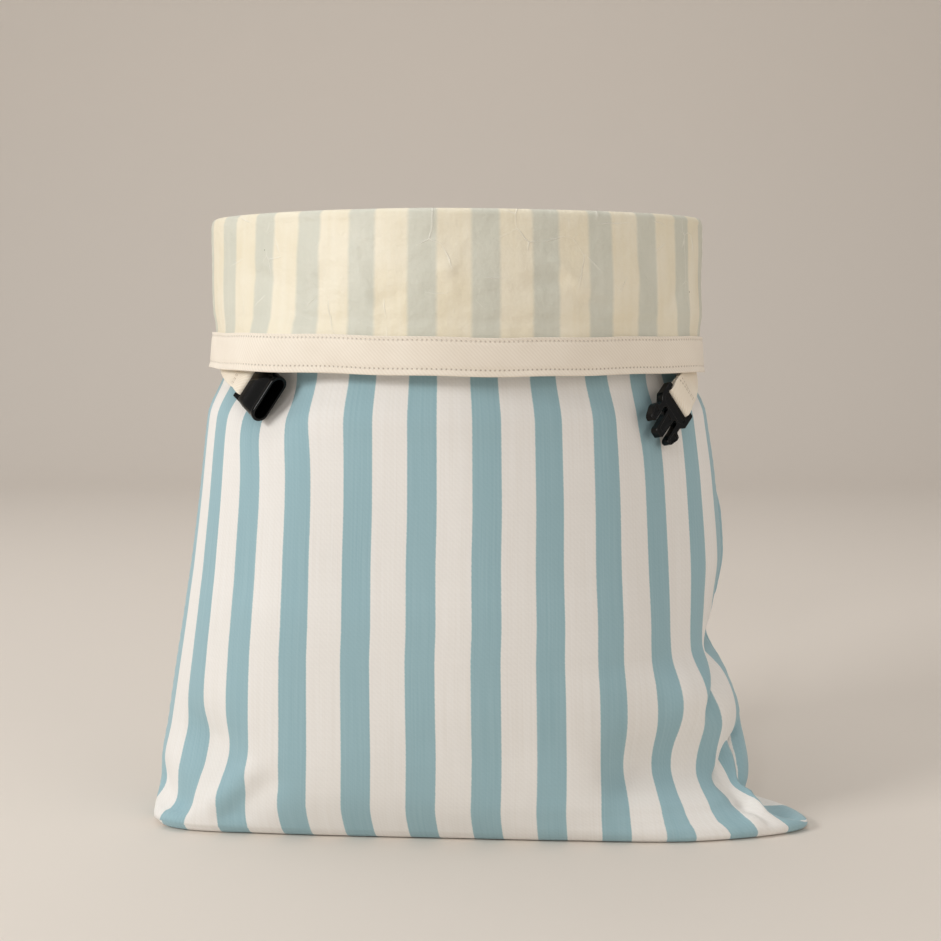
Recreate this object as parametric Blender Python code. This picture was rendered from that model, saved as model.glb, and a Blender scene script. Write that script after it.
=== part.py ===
"""Striped bread bag with a turned-down coated cuff, a twill band and a side-release buckle.

The bag is two equal cloth panels sewn together down both sides and along the bottom. Each panel runs from
the middle of the base, round the bottom edge, up the wall, over the rim and down the outside as its half
of the cuff. Lengths in the tables are millimetres, and each finished mesh is in metres with +Z up. The
origin is on the floor, under the middle of the bag's outer box.
"""

import functools
import math

import bpy
import numpy as np

MM = 0.001

# Driving dimensions, in millimetres.
PANEL_WIDTH = 419.0      # cut width of each panel between its side seams
CLOTH = 1.4              # coated striped cloth
SEAM_GAP = 0.8           # space left between sewn pieces
RIM_HEIGHT = 357.0       # top of the folded rim above the floor
CUFF_END = 265.5         # height of the cuff cloth's lower edge, inside the band
RIM_FOLD = 3.1           # middle radius of the fold over the rim
NECK_INSET = 7.2         # how far the wall behind the cuff lies inside the cuff
NECK_START = 236.0       # height where the wall starts to draw in under the cuff
BOTTOM_ROUND = 3.2       # radius between wall and base
SEAM_END_INSET = 9.0     # the base seam stops this far inside the side seams
BAND_LOW = 263.0         # lower edge of the band
BAND_DEPTH = 21.5        # width of the twill band
BAND_THICK = 1.3
STRAP_WIDTH = 20.0       # webbing of the two straps
STRAP_PLY = 1.2          # one layer of that webbing
STRAP_SPLIT = 0.4        # space between the strap's two layers where they are sewn together
BAR_RADIUS = 1.6         # bar that each strap is folded round, in both buckle halves
COLUMNS = 28             # cloth divisions across a panel
BASE_ROWS = 3            # flat rows between the base seam and the bottom edge
CURVE_POINTS = 120       # points along each quarter of an outline
FINE_POINTS = 840        # points along the front for placing the straps
SMOOTH_ANGLE = 40.0      # edges flatter than this, in degrees, are shaded smooth

# The outer outline of the bag, level by level. Left, right, crown and the seam, front and back places are
# plan positions; fullness is the exponent of each quarter curve; turn twists the level about the middle; and
# point_left, in radians, makes the left side seam a point.
SECTION_COLUMNS = ("z", "left", "right", "left_seam", "right_seam", "front", "back", "crown",
                   "full_left", "full_right", "full_back", "turn", "point_left")
SECTIONS = (
    (0, -181, 200, 51, 38, -2, 117, 50, 6.0, 1.7, 2.4, -4.0, 0.0),
    (4, -183, 200, 51, 38, -2, 118, 50, 5.8, 1.7, 2.4, -4.0, 0.0),
    (8, -184, 193, 52, 41, -2, 120, 45, 5.2, 1.75, 2.4, -4.0, 0.0),
    (10.5, -185, 183, 53, 46, -3, 122, 30, 4.6, 1.9, 2.4, -4.0, 0.0),
    (13, -185, 176, 54, 51, -3, 124, 10, 4.0, 2.2, 2.4, -4.0, 0.0),
    (17, -185, 173.5, 56, 54, -5, 127, -10, 3.5, 2.4, 2.4, -4.0, 0.02),
    (30, -186, 171, 62, 61, -8, 134, -22, 2.8, 2.15, 2.3, -3.5, 0.12),
    (55, -183, 166, 68, 71, -11, 144, -17, 2.6, 1.9, 2.3, -3.0, 0.25),
    (84, -178, 156, 66, 82, -12, 155, -11, 2.5, 2.0, 2.2, -3.0, 0.28),
    (103, -174.5, 147, 65, 90, -12, 161, -7, 2.5, 1.95, 2.2, -3.0, 0.3),
    (128, -170, 151, 65, 97, -11, 168, -4, 2.45, 1.8, 2.1, -2.5, 0.3),
    (152, -166.5, 155.5, 68, 102, -8, 174, 0, 2.4, 1.65, 2.1, -2.5, 0.3),
    (195, -162, 153, 78, 108, -3, 184, -1, 2.4, 1.62, 2.1, -2.0, 0.3),
    (235, -159.5, 147.5, 92, 114, 1, 191, -8, 2.3, 1.65, 2.1, -2.0, 0.3),
    (263, -158, 143.5, 108, 120, 1, 196, -12, 2.0, 1.7, 2.1, -2.0, 0.2),
    (285, -158, 143, 120, 125, 4, 199, -14, 1.8, 1.7, 2.1, -2.0, 0.1),
    (300, -161, 145, 128, 128, 6, 201, -15, 1.7, 1.7, 2.1, -2.0, 0.05),
    (357, -164, 146, 148, 138, 16, 207, -18, 1.65, 1.65, 2.1, -2.0, 0.0),
)

# Places where the cuff and the band stand out over the buckle halves: way round, height, reach each way, out.
BULGE_COLUMNS = ("around", "height", "reach_around", "reach_up", "out")
BULGES = (
    (86.0, 263.0, 31.0, 36.0, 7.4),
    (374.0, 263.0, 28.0, 30.0, 3.6),
)

ANCHOR_COLUMN = 201.0    # this column of cloth, from the left side seam, hangs straight
ANCHOR_X = -12.0         # where it hangs
PACE_LOW = 1.02          # cloth to each unit of outline near the middle, at the floor
PACE_HIGH = 0.975        # the same at the rim
SLACK_POWER = 5          # how sharply the rest is taken up towards the side seams

# Folds lie on the cloth along a line between two places, given by the way round from the left side seam and
# the height. Width is how far the fold reaches to each side, and depth is how far it goes in, or out where it
# is negative. In order: the hollows behind the two buckle halves, the dent above the right end of the base
# and the swell over it, the pinched side in two parts, the groove and the crease above the ear, a swell of
# the back beside its seam, and the two dents above the left corner.
FOLD_COLUMNS = ("around_1", "height_1", "around_2", "height_2", "width", "depth")
FOLDS = (
    (60.0, 266.0, 104.0, 250.0, 18.0, 6.5),
    (330.0, 240.0, 366.0, 262.0, 17.0, 3.5),
    (302.0, 40.0, 394.0, 38.0, 17.0, 13.0),
    (350.0, 76.0, 380.0, 73.0, 14.0, -3.0),
    (415.0, 104.0, 390.0, 96.0, 10.0, 5.0),
    (390.0, 96.0, 358.0, 70.0, 8.0, 4.5),
    (419.0, 44.0, 419.0, 16.0, 8.0, 7.0),
    (400.0, 40.0, 370.0, 14.0, 8.0, 4.0),
    (432.0, 175.0, 432.0, 130.0, 12.0, -3.0),
    (24.0, 20.0, 42.0, 15.0, 10.0, 6.0),
    (62.0, 48.0, 72.0, 45.0, 19.0, 7.0),
)

# Straps, each from its sewn end under the cuff to its buckle bar. Lean tips the lower edge outwards.
STRAP_COLUMNS = ("around", "height", "stand_off", "lean")
LEFT_STRAP = (
    (18.0, 273.5, -3.5, 4.0),
    (26.0, 271.0, -3.4, 7.0),
    (33.0, 269.5, -2.9, 9.0),
    (52.0, 265.5, -1.6, 17.0),
    (75.5, 260.0, 1.4, 24.0),
)
LEFT_AIM = (100.0, 248.5, 3.4, 24.0)
RIGHT_STRAP = (
    (411.0, 269.5, -3.3, 4.0),
    (404.0, 266.5, -2.7, 8.0),
    (392.0, 261.5, -1.4, 12.0),
    (378.5, 255.5, 0.8, 16.0),
    (357.0, 246.5, 4.4, 14.0),
)
RIGHT_AIM = (333.0, 229.0, 6.8, 12.0)
STRAP_SPREAD = 9.0       # length over which a strap's layers part to pass round the bar
STRAP_STEPS = 9          # points along a strap as far as that
SPREAD_STEPS = 6         # and beyond it
HAIRPIN_TURNS = (60, 30, 0, -30, -60)   # places round the bar, in degrees

# Buckle halves, along from the bar's middle, across from the middle line, half thickness.
BAR_PLAY = 0.5           # room beside the webbing in its slot
SLOT_END = 3.9           # far edge of the webbing's slot
CHEEK_START = -2.2       # the cheeks reach this far behind the bar
CHEEK_HALF = 2.3
CHEEK_ROOT = 2.0         # how far the socket's cheeks run into its body
BAR_ROOT = 1.5           # how far each end of a bar runs into its cheek
BODY_SIDES = 24
BAR_SIDES = 14
SOCKET_BODY = ((3.9, 13.5, 2.75), (8.0, 14.0, 3.8), (15.0, 14.5, 4.9), (25.5, 14.5, 5.25))
SOCKET_CAVITY = ((7.5, 11.6, 2.2), (12.0, 12.8, 3.5), (26.5, 13.0, 4.0))
WINDOW = (10.5, 18.5)    # from and to, along, of the side windows
WINDOW_HALF = 2.4
WINDOW_REACH = 20.0      # half the length of the cut that makes both windows
PLUG_HALF = 2.5
PLATE_EASE = 0.5         # chamfer round the rims of flat pieces
SHARPEST_MITRE = 0.4     # least share of the chamfer's distance kept at a sharp corner
PLUG_EDGE = (
    (3.9, 10.5), (-2.2, 10.5), (-2.2, 13.0), (-1.2, 13.6), (9.0, 13.6), (10.5, 12.6), (13.0, 10.6),
    (17.0, 10.4), (18.0, 13.4), (20.5, 13.6), (26.5, 11.8), (28.0, 10.4), (28.2, 8.4), (26.8, 7.2),
    (14.5, 7.0), (13.0, 6.2), (12.6, 5.0), (13.4, 3.9), (29.5, 3.4), (30.8, 2.2),
)


def section_table():
    """The section columns as arrays, by name."""
    rows = np.array(SECTIONS, float)
    return {name: rows[:, i] for i, name in enumerate(SECTION_COLUMNS)}


def smooth_between(places, values, wanted):
    """Values at the wanted places, on a smooth curve that never overshoots the table."""
    steps = np.diff(places)
    rates = np.diff(values) / steps
    slopes = np.zeros(len(values))
    slopes[0] = rates[0]
    slopes[-1] = rates[-1]
    same_way = rates[:-1] * rates[1:] > 0
    inner = np.zeros(len(rates) - 1)
    inner[same_way] = 2 / (1 / rates[:-1][same_way] + 1 / rates[1:][same_way])
    slopes[1:-1] = inner
    wanted = np.clip(wanted, places[0], places[-1])
    i = np.clip(np.searchsorted(places, wanted) - 1, 0, len(steps) - 1)
    h = steps[i]
    t = (wanted - places[i]) / h
    return ((2 * t**3 - 3 * t**2 + 1) * values[i] + (t**3 - 2 * t**2 + t) * h * slopes[i]
            + (3 * t**2 - 2 * t**3) * values[i + 1] + (t**3 - t**2) * h * slopes[i + 1])


def quarter(end_x, end_y, crown_x, crown_y, fullness, start):
    """A quarter of an outline, from its side seam to the middle of the front or back.

    Start, in radians, leaves off the first part of the quarter, so that the seam is a point and not a bend.
    """
    turn_points = np.linspace(start, math.pi / 2, CURVE_POINTS)
    across = np.cos(turn_points) ** (2 / fullness)
    along = np.sin(turn_points) ** (2 / fullness)
    whole_y = (end_y - crown_y * along[0]) / (1 - along[0])
    return np.stack([crown_x + (end_x - crown_x) * across / across[0],
                     whole_y + (crown_y - whole_y) * along], axis=1)


def paced(run, anchor_run, shares, pace):
    """Places along an outline for shares of the panel: even near the anchor, slack taken up at the seams."""
    anchor = ANCHOR_COLUMN / PANEL_WIDTH
    places = np.zeros(len(shares))
    for side, cloth, room in ((shares <= anchor, ANCHOR_COLUMN, anchor_run),
                              (shares > anchor, PANEL_WIDTH - ANCHOR_COLUMN, run[-1] - anchor_run)):
        away = np.abs(shares[side] * PANEL_WIDTH - ANCHOR_COLUMN) / cloth
        reach = cloth * pace * away + (room - cloth * pace) * away**SLACK_POWER
        places[side] = anchor_run + np.where(shares[side] <= anchor, -reach, reach)
    return places


def outline(level, shares):
    """Plan points of one level: shares 0 to 1 go round the front, 1 to 2 round the back."""
    pace = PACE_LOW + (PACE_HIGH - PACE_LOW) * level["z"] / RIM_HEIGHT
    middle_y = (level["front"] + level["back"]) / 2
    turn = math.radians(level["turn"])
    plan = np.zeros((len(shares), 2))
    for face, fullness, start, chosen in (
            ("front", ("full_left", "full_right"), level["point_left"], shares <= 1),
            ("back", ("full_back", "full_back"), 0.0, shares > 1)):
        left = quarter(level["left"], level["left_seam"], level["crown"], level[face], level[fullness[0]],
                       start)
        right = quarter(level["right"], level["right_seam"], level["crown"], level[face],
                        level[fullness[1]], 0.0)
        half = np.concatenate([left, right[-2::-1]])
        steps = np.linalg.norm(np.diff(half, axis=0), axis=1)
        run = np.concatenate([[0], np.cumsum(steps)])
        anchor_run = np.interp(ANCHOR_X, half[:, 0], run)
        across = shares[chosen] if face == "front" else 2 - shares[chosen]
        places = paced(run, anchor_run, across, pace)
        x = np.interp(places, run, half[:, 0])
        y = np.interp(places, run, half[:, 1]) - middle_y
        plan[chosen, 0] = x * math.cos(turn) - y * math.sin(turn)
        plan[chosen, 1] = middle_y + x * math.sin(turn) + y * math.cos(turn)
    return plan


def level_at(table, z):
    """Every section column at one height."""
    return {name: float(smooth_between(table["z"], table[name], np.array([z]))[0])
            for name in SECTION_COLUMNS}


def loop_directions(points):
    """Unit tangents of a closed loop of points, or of a stack of them."""
    ahead = np.roll(points, -1, axis=-2) - np.roll(points, 1, axis=-2)
    return ahead / np.maximum(np.linalg.norm(ahead, axis=-1, keepdims=True), 1e-9)


def plan_outward(plan):
    """Unit directions pointing out of a closed plan outline."""
    direction = loop_directions(plan)
    return np.stack([direction[:, 1], -direction[:, 0]], axis=1)


def wall_levels():
    """Heights of the wall's rows, closer together in the ear and the folds near the floor."""
    low = [5.0, 7.5, 9.5, 11.0, 12.5, 14.5, 17.0, 22.0, 30.0, 40.0, 52.0, 65.0, 78.0, 92.0, 106.0, 120.0]
    return low + [136.0, 156.0, 180.0, 206.0, 234.0, 262.0, 284.0, 305.0]


def cloth_rows():
    """Rows of the sheet from the base seam to the cuff's edge: kind, height, and inset from the outline."""
    floor = CLOTH / 2
    rows = [("base", floor, share / BASE_ROWS) for share in range(BASE_ROWS)]
    for turn in (90, 60, 30, 0):
        rise = BOTTOM_ROUND * (1 - math.sin(math.radians(turn)))
        inset = BOTTOM_ROUND * (1 - math.cos(math.radians(turn)))
        rows.append(("edge", floor + rise, inset))
    rows += [("wall", z, 0.0) for z in wall_levels()]
    top = RIM_HEIGHT - CLOTH / 2 - RIM_FOLD
    for turn in (180, 135, 90, 45, 0):
        rise = RIM_FOLD * math.sin(math.radians(turn))
        inset = RIM_FOLD * (1 - math.cos(math.radians(turn)))
        rows.append(("rim", top + rise, inset))
    hidden = BAND_LOW + BAND_DEPTH
    rows += [("cuff", z, 0.0) for z in (325.0, 300.0, hidden, BAND_LOW + BAND_DEPTH / 2, CUFF_END)]
    return rows


def neck_inset(z):
    """How far the wall lies inside the cuff's outline at one height."""
    share = min(max((z - NECK_START) / (CUFF_END - NECK_START), 0.0), 1.0)
    return NECK_INSET * share * share * (3 - 2 * share)


def bulge_out(around, z):
    """How far the cuff stands out over the buckle halves at places round the loop."""
    out = np.zeros(len(around))
    for row in BULGES:
        bulge = dict(zip(BULGE_COLUMNS, row))
        aside = (around - bulge["around"]) / bulge["reach_around"]
        above = (z - bulge["height"]) / bulge["reach_up"]
        out += bulge["out"] * np.exp(-aside**2 - above**2)
    return out


def seam_line(table, shares):
    """Points of the base seam, straight from side seam to side seam a little inside their feet."""
    feet = outline(level_at(table, 0.0), np.array([0.0, 1.0]))
    left, right = feet
    along = (right - left) / np.linalg.norm(right - left)
    left = left + along * SEAM_END_INSET
    right = right - along * SEAM_END_INSET
    across = np.where(shares <= 1, shares, 2 - shares)[:, None]
    return left + (right - left) * across


def sheet_normals(points, base_rows):
    """Unit normals of a grid of rows round the bag, outward on the striped side, down under the base."""
    across = np.roll(points, -1, axis=1) - np.roll(points, 1, axis=1)
    along = np.gradient(points, axis=0)
    normals = np.cross(across, along)
    normals[:base_rows] = (0.0, 0.0, -1.0)
    return normals / np.maximum(np.linalg.norm(normals, axis=2, keepdims=True), 1e-9)


def fold_lines(points, around, height, base_rows):
    """Move cloth points by the table of folds; around runs from 0 to twice the panel's width."""
    normals = sheet_normals(points, base_rows)
    moved = points.copy()
    for row in FOLDS:
        fold = dict(zip(FOLD_COLUMNS, row))
        run_s = fold["around_2"] - fold["around_1"]
        run_z = fold["height_2"] - fold["height_1"]
        length = math.hypot(run_s, run_z)
        from_s = (around - fold["around_1"] + PANEL_WIDTH) % (2 * PANEL_WIDTH) - PANEL_WIDTH
        from_z = height - fold["height_1"]
        along = (from_s * run_s + from_z * run_z) / length
        aside = (from_s * run_z - from_z * run_s) / length
        past = np.maximum(np.abs(along - length / 2) - length / 2, 0)
        strength = np.exp(-(aside / fold["width"])**2 - (past / fold["width"])**2)[..., None]
        moved -= normals * fold["depth"] * strength
    return moved


def cloth_middle(shares):
    """Middle surface of the whole bag cloth: rows from the base seam to the cuff's edge, by places round."""
    table = section_table()
    rows = cloth_rows()
    seam = seam_line(table, shares)
    foot = outline(level_at(table, 0.0), shares)
    towards = seam - foot
    towards /= np.linalg.norm(towards, axis=1, keepdims=True)
    grid = []
    for kind, z, amount in rows:
        if kind == "base":
            start = foot + towards * BOTTOM_ROUND
            plan = seam + (start - seam) * amount
        elif kind == "edge":
            plan = foot + towards * amount
        else:
            plan = outline(level_at(table, z), shares)
            inset = np.full(len(shares), amount)
            if kind == "wall":
                inset += neck_inset(z)
            if kind == "cuff":
                inset -= bulge_out(shares * PANEL_WIDTH, z)
            plan = plan - plan_outward(plan) * inset[:, None]
        grid.append(np.column_stack([plan, np.full(len(plan), z)]))
    grid = np.array(grid)
    around = np.broadcast_to(shares * PANEL_WIDTH, grid.shape[:2])
    foldable = np.array([kind == "wall" for kind, _, _ in rows])
    folded = fold_lines(grid, around, grid[..., 2], BASE_ROWS)
    grid = np.where(foldable[:, None, None], folded, grid)
    return grid


def sheet_solid(middle, normals, thickness, closed=False):
    """Vertices and faces of a thin solid on a grid of middle points; closed makes it one ring."""
    rows, columns = middle.shape[:2]
    outer = middle + normals * thickness / 2
    inner = middle - normals * thickness / 2
    vertices = np.concatenate([outer.reshape(-1, 3), inner.reshape(-1, 3)])

    def at(row, column, layer):
        return (layer * rows + row) * columns + column % columns

    faces = []
    spans = columns if closed else columns - 1
    for i in range(rows - 1):
        for j in range(spans):
            faces.append((at(i, j, 0), at(i, j + 1, 0), at(i + 1, j + 1, 0), at(i + 1, j, 0)))
            faces.append((at(i, j, 1), at(i + 1, j, 1), at(i + 1, j + 1, 1), at(i, j + 1, 1)))
        if not closed:
            last = columns - 1
            faces.append((at(i, 0, 0), at(i + 1, 0, 0), at(i + 1, 0, 1), at(i, 0, 1)))
            faces.append((at(i, last, 1), at(i + 1, last, 1), at(i + 1, last, 0), at(i, last, 0)))
    last = rows - 1
    for j in range(spans):
        faces.append((at(0, j, 1), at(0, j + 1, 1), at(0, j + 1, 0), at(0, j, 0)))
        faces.append((at(last, j, 0), at(last, j + 1, 0), at(last, j + 1, 1), at(last, j, 1)))
    return vertices, faces


def panel_grid(side):
    """Middle points and normals of one panel, drawn back from the seams it is sewn along."""
    shares = np.linspace(0, 2, 2 * COLUMNS + 1)[:-1]
    middle = cloth_middle(shares)
    normals = sheet_normals(middle, BASE_ROWS)
    tangent = loop_directions(middle)
    first = 0 if side == "front" else COLUMNS
    chosen = np.arange(first, first + COLUMNS + 1) % (2 * COLUMNS)
    middle = middle[:, chosen]
    normals = normals[:, chosen]
    tangent = tangent[:, chosen]
    middle[:, 0] += tangent[:, 0] * SEAM_GAP / 2
    middle[:, -1] -= tangent[:, -1] * SEAM_GAP / 2
    middle[0, :, 1] += SEAM_GAP / 2 if side == "back" else -SEAM_GAP / 2
    return middle, normals


def paint(name, colour, roughness):
    """A Principled material with one colour."""
    material = bpy.data.materials.new(name)
    material.use_nodes = True
    shader = material.node_tree.nodes["Principled BSDF"]
    shader.inputs["Base Color"].default_value = (*colour, 1.0)
    shader.inputs["Roughness"].default_value = roughness
    shader.inputs["Metallic"].default_value = 0.0
    return material


@functools.cache
def origin_place():
    """The point on the floor under the middle of the bag's outer box: the finished part's origin."""
    corners = np.concatenate([panel_grid(side)[0].reshape(-1, 3) for side in ("front", "back")])
    low = corners.min(axis=0)
    high = corners.max(axis=0)
    return np.array([(low[0] + high[0]) / 2, (low[1] + high[1]) / 2, 0.0])


def add_solid(name, vertices, faces, material):
    """A smooth-shaded object from vertices in millimetres, moved so that the origin is under the bag."""
    mesh = bpy.data.meshes.new(name)
    placed = (np.array(vertices) - origin_place()) * MM
    mesh.from_pydata([tuple(place) for place in placed.tolist()], [], faces)
    mesh.materials.append(material)
    mesh.shade_smooth()
    mesh.set_sharp_from_angle(angle=math.radians(SMOOTH_ANGLE))
    solid = bpy.data.objects.new(name, mesh)
    bpy.context.scene.collection.objects.link(solid)
    return solid


def join_solid(target, tool, operation):
    """Add a tool solid to the target, or cut it away, and drop the tool."""
    modifier = target.modifiers.new("join", "BOOLEAN")
    modifier.operation = operation
    modifier.solver = "EXACT"
    modifier.object = tool
    graph = bpy.context.evaluated_depsgraph_get()
    joined = bpy.data.meshes.new_from_object(target.evaluated_get(graph))
    target.modifiers.clear()
    target.data = joined
    bpy.data.objects.remove(tool)


def add_panel(side, material):
    """One striped cloth panel: half the base, the wall, the fold over the rim and half the cuff."""
    middle, normals = panel_grid(side)
    vertices, faces = sheet_solid(middle, normals, CLOTH)
    return add_solid(f"{side}_panel", vertices, faces, material)


def add_band(material):
    """The twill band, one closed ring round the outside of the cuff's free edge."""
    table = section_table()
    shares = np.linspace(0, 2, 2 * COLUMNS + 1)[:-1]
    away = CLOTH / 2 + SEAM_GAP + BAND_THICK / 2
    middle = []
    normals = []
    for share in (1.0, 0.5, 0.0):
        z = BAND_LOW + BAND_DEPTH * share
        plan = outline(level_at(table, z), shares)
        outward = plan_outward(plan)
        plan = plan + outward * (away + bulge_out(shares * PANEL_WIDTH, z))[:, None]
        middle.append(np.column_stack([plan, np.full(len(plan), z)]))
        normals.append(np.column_stack([-outward, np.zeros(len(plan))]))
    vertices, faces = sheet_solid(np.array(middle), np.array(normals), BAND_THICK, closed=True)
    return add_solid("mouth_band", vertices, faces, material)


def surface_frame(row):
    """A point off the bag's outline, and the outward normal of webbing lying there at a lean."""
    strap = dict(zip(STRAP_COLUMNS, row))
    shares = np.linspace(0, 1, FINE_POINTS)
    plan = outline(level_at(section_table(), strap["height"]), shares)
    steps = np.gradient(plan, axis=0)
    steps /= np.linalg.norm(steps, axis=1, keepdims=True)
    i = int(np.argmin(np.abs(shares * PANEL_WIDTH - strap["around"])))
    outward = np.array([steps[i, 1], -steps[i, 0], 0.0])
    tip = math.radians(strap["lean"])
    place = np.array([*plan[i], strap["height"]]) + outward * strap["stand_off"]
    return place, outward * math.cos(tip) + np.array([0.0, 0.0, math.sin(tip)])


def strap_centre(rows, aim):
    """Centre points, directions and normals of a strap, from its sewn end to its buckle bar."""
    frames = [surface_frame(row) for row in rows]
    bar, bar_normal = frames[-1]
    ahead = surface_frame(aim)[0] - bar
    ahead /= np.linalg.norm(ahead)
    frames.insert(-1, (bar - ahead * STRAP_SPREAD, bar_normal))
    points = np.array([frame[0] for frame in frames])
    normals = np.array([frame[1] for frame in frames])
    steps = np.linalg.norm(np.diff(points, axis=0), axis=1)
    run = np.concatenate([[0], np.cumsum(steps)])
    wanted = np.concatenate([np.linspace(0, run[-2], STRAP_STEPS),
                             np.linspace(run[-2], run[-1], SPREAD_STEPS)[1:]])
    points = np.stack([smooth_between(run, points[:, i], wanted) for i in range(3)], axis=1)
    normals = np.stack([smooth_between(run, normals[:, i], wanted) for i in range(3)], axis=1)
    directions = np.gradient(points, axis=0)
    directions[-1] = ahead
    directions /= np.linalg.norm(directions, axis=1, keepdims=True)
    normals -= directions * np.sum(normals * directions, axis=1, keepdims=True)
    normals /= np.linalg.norm(normals, axis=1, keepdims=True)
    return points, directions, normals


def add_strap(name, rows, aim, material):
    """A strap of one webbing, laid double, with its fold round the buckle bar."""
    points, directions, normals = strap_centre(rows, aim)
    sides = np.cross(directions, normals)
    left = np.linalg.norm(np.diff(points, axis=0), axis=1)[::-1].cumsum()[::-1]
    left = np.concatenate([left, [0.0]])
    sewn = (STRAP_SPLIT + STRAP_PLY) / 2
    round_bar = BAR_RADIUS + BAR_PLAY + STRAP_PLY / 2
    share = np.clip(1 - left / STRAP_SPREAD, 0, 1)
    spread = sewn + (round_bar - sewn) * share * share * (3 - 2 * share)
    path = [points + normals * spread[:, None]]
    faced = [normals]
    turned = [sides]
    for turn in HAIRPIN_TURNS:
        angle = math.radians(turn)
        away = directions[-1:] * math.cos(angle) + normals[-1:] * math.sin(angle)
        path.append(points[-1:] + away * round_bar)
        faced.append(away)
        turned.append(sides[-1:])
    path.append((points - normals * spread[:, None])[::-1])
    faced.append(-normals[::-1])
    turned.append(sides[::-1])
    path = np.concatenate(path)
    faced = np.concatenate(faced)
    turned = np.concatenate(turned)
    edges = np.linspace(-STRAP_WIDTH / 2, STRAP_WIDTH / 2, 3)
    middle = path[:, None] + turned[:, None] * edges[None, :, None]
    facing = np.repeat(faced[:, None], len(edges), axis=1)
    vertices, faces = sheet_solid(middle, facing, STRAP_PLY)
    return add_solid(name, vertices, faces, material)


def bar_frame(rows, aim):
    """The bar's centre and the axes of its buckle half: along, across and outward."""
    points, directions, normals = strap_centre(rows, aim)
    return points[-1], directions[-1], np.cross(normals[-1], directions[-1]), normals[-1]


def in_frame(frame, places):
    """Places given as along, across and outward, turned into the bag's own millimetres."""
    centre, along, across, outward = frame
    return centre + np.array(places, float) @ np.stack([along, across, outward])


def add_loft(name, frame, sections, material):
    """A solid through rounded oblong sections, each with its place along, half width and half thickness."""
    sides = BODY_SIDES
    places = []
    for along, wide, thick in sections:
        for k in range(sides):
            angle = math.tau * k / sides
            flat = wide - thick
            across = math.copysign(flat, math.cos(angle)) + thick * math.cos(angle)
            places.append((along, across, thick * math.sin(angle)))
    faces = [tuple(range(sides - 1, -1, -1)), tuple((len(sections) - 1) * sides + k for k in range(sides))]
    for i in range(len(sections) - 1):
        for k in range(sides):
            after = (k + 1) % sides
            faces.append((i * sides + k, i * sides + after, (i + 1) * sides + after, (i + 1) * sides + k))
    return add_solid(name, in_frame(frame, places), faces, material)


def add_plate(name, frame, edge, half_thick, material):
    """A flat piece cut to an edge of along and across places, its rims eased by a small chamfer."""
    ring = np.array(edge, float)
    before = ring - np.roll(ring, 1, axis=0)
    after = np.roll(ring, -1, axis=0) - ring
    before /= np.linalg.norm(before, axis=1, keepdims=True)
    after /= np.linalg.norm(after, axis=1, keepdims=True)
    inward = np.stack([-(before + after)[:, 1], (before + after)[:, 0]], axis=1)
    kept = np.sum(inward * np.stack([-after[:, 1], after[:, 0]], axis=1), axis=1)
    inward /= np.maximum(kept, SHARPEST_MITRE)[:, None]
    layers = ((-half_thick, PLATE_EASE), (-half_thick + PLATE_EASE, 0.0), (half_thick - PLATE_EASE, 0.0),
              (half_thick, PLATE_EASE))
    places = []
    for height, inset in layers:
        for along, across in ring + inward * inset:
            places.append((along, across, height))
    count = len(ring)
    faces = [tuple(range(count - 1, -1, -1)), tuple(3 * count + k for k in range(count))]
    for i in range(3):
        for k in range(count):
            after_k = (k + 1) % count
            faces.append((i * count + k, i * count + after_k, (i + 1) * count + after_k, (i + 1) * count + k))
    return add_solid(name, in_frame(frame, places), faces, material)


def add_rod(name, frame, half_length, radius, material):
    """A round bar across the frame."""
    sides = BAR_SIDES
    places = []
    for across in (-half_length, half_length):
        for k in range(sides):
            angle = math.tau * k / sides
            places.append((radius * math.cos(angle), across, radius * math.sin(angle)))
    faces = [tuple(range(sides)), tuple(sides + k for k in range(sides - 1, -1, -1))]
    for k in range(sides):
        after = (k + 1) % sides
        faces.append((k, sides + k, sides + after, after))
    return add_solid(name, in_frame(frame, places), faces, material)


def mirrored(edge):
    """A closed edge from its half on the positive side, mirrored across the middle."""
    return list(edge) + [(along, -across) for along, across in reversed(edge)]


def add_socket(material):
    """The female half: a wedge with a deep oblong mouth, two side windows, two cheeks and the strap's bar."""
    frame = bar_frame(LEFT_STRAP, LEFT_AIM)
    socket = add_loft("buckle_socket", frame, SOCKET_BODY, material)
    cheek_out = SOCKET_BODY[0][1] - PLATE_EASE
    cheek_in = STRAP_WIDTH / 2 + BAR_PLAY
    for side in (-1, 1):
        root = SLOT_END + CHEEK_ROOT
        corners = [(CHEEK_START, cheek_in), (CHEEK_START, cheek_out), (root, cheek_out), (root, cheek_in)]
        ring = [(along, side * across) for along, across in corners]
        cheek = add_plate("cheek", frame, ring if side < 0 else ring[::-1], CHEEK_HALF, material)
        join_solid(socket, cheek, "UNION")
    join_solid(socket, add_rod("bar", frame, cheek_in + BAR_ROOT, BAR_RADIUS, material), "UNION")
    join_solid(socket, add_loft("cavity", frame, SOCKET_CAVITY, material), "DIFFERENCE")
    start, end = WINDOW
    window = [(start, -WINDOW_REACH), (end, -WINDOW_REACH), (end, WINDOW_REACH), (start, WINDOW_REACH)]
    join_solid(socket, add_plate("window", frame, window, WINDOW_HALF, material), "DIFFERENCE")
    return socket


def add_plug(material):
    """The male half: a base with cheeks, two springy side arms with barbs, a guide tongue and the bar."""
    frame = bar_frame(RIGHT_STRAP, RIGHT_AIM)
    plug = add_plate("buckle_plug", frame, mirrored(PLUG_EDGE)[::-1], PLUG_HALF, material)
    rod = add_rod("bar", frame, STRAP_WIDTH / 2 + BAR_PLAY + BAR_ROOT, BAR_RADIUS, material)
    join_solid(plug, rod, "UNION")
    return plug


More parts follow.
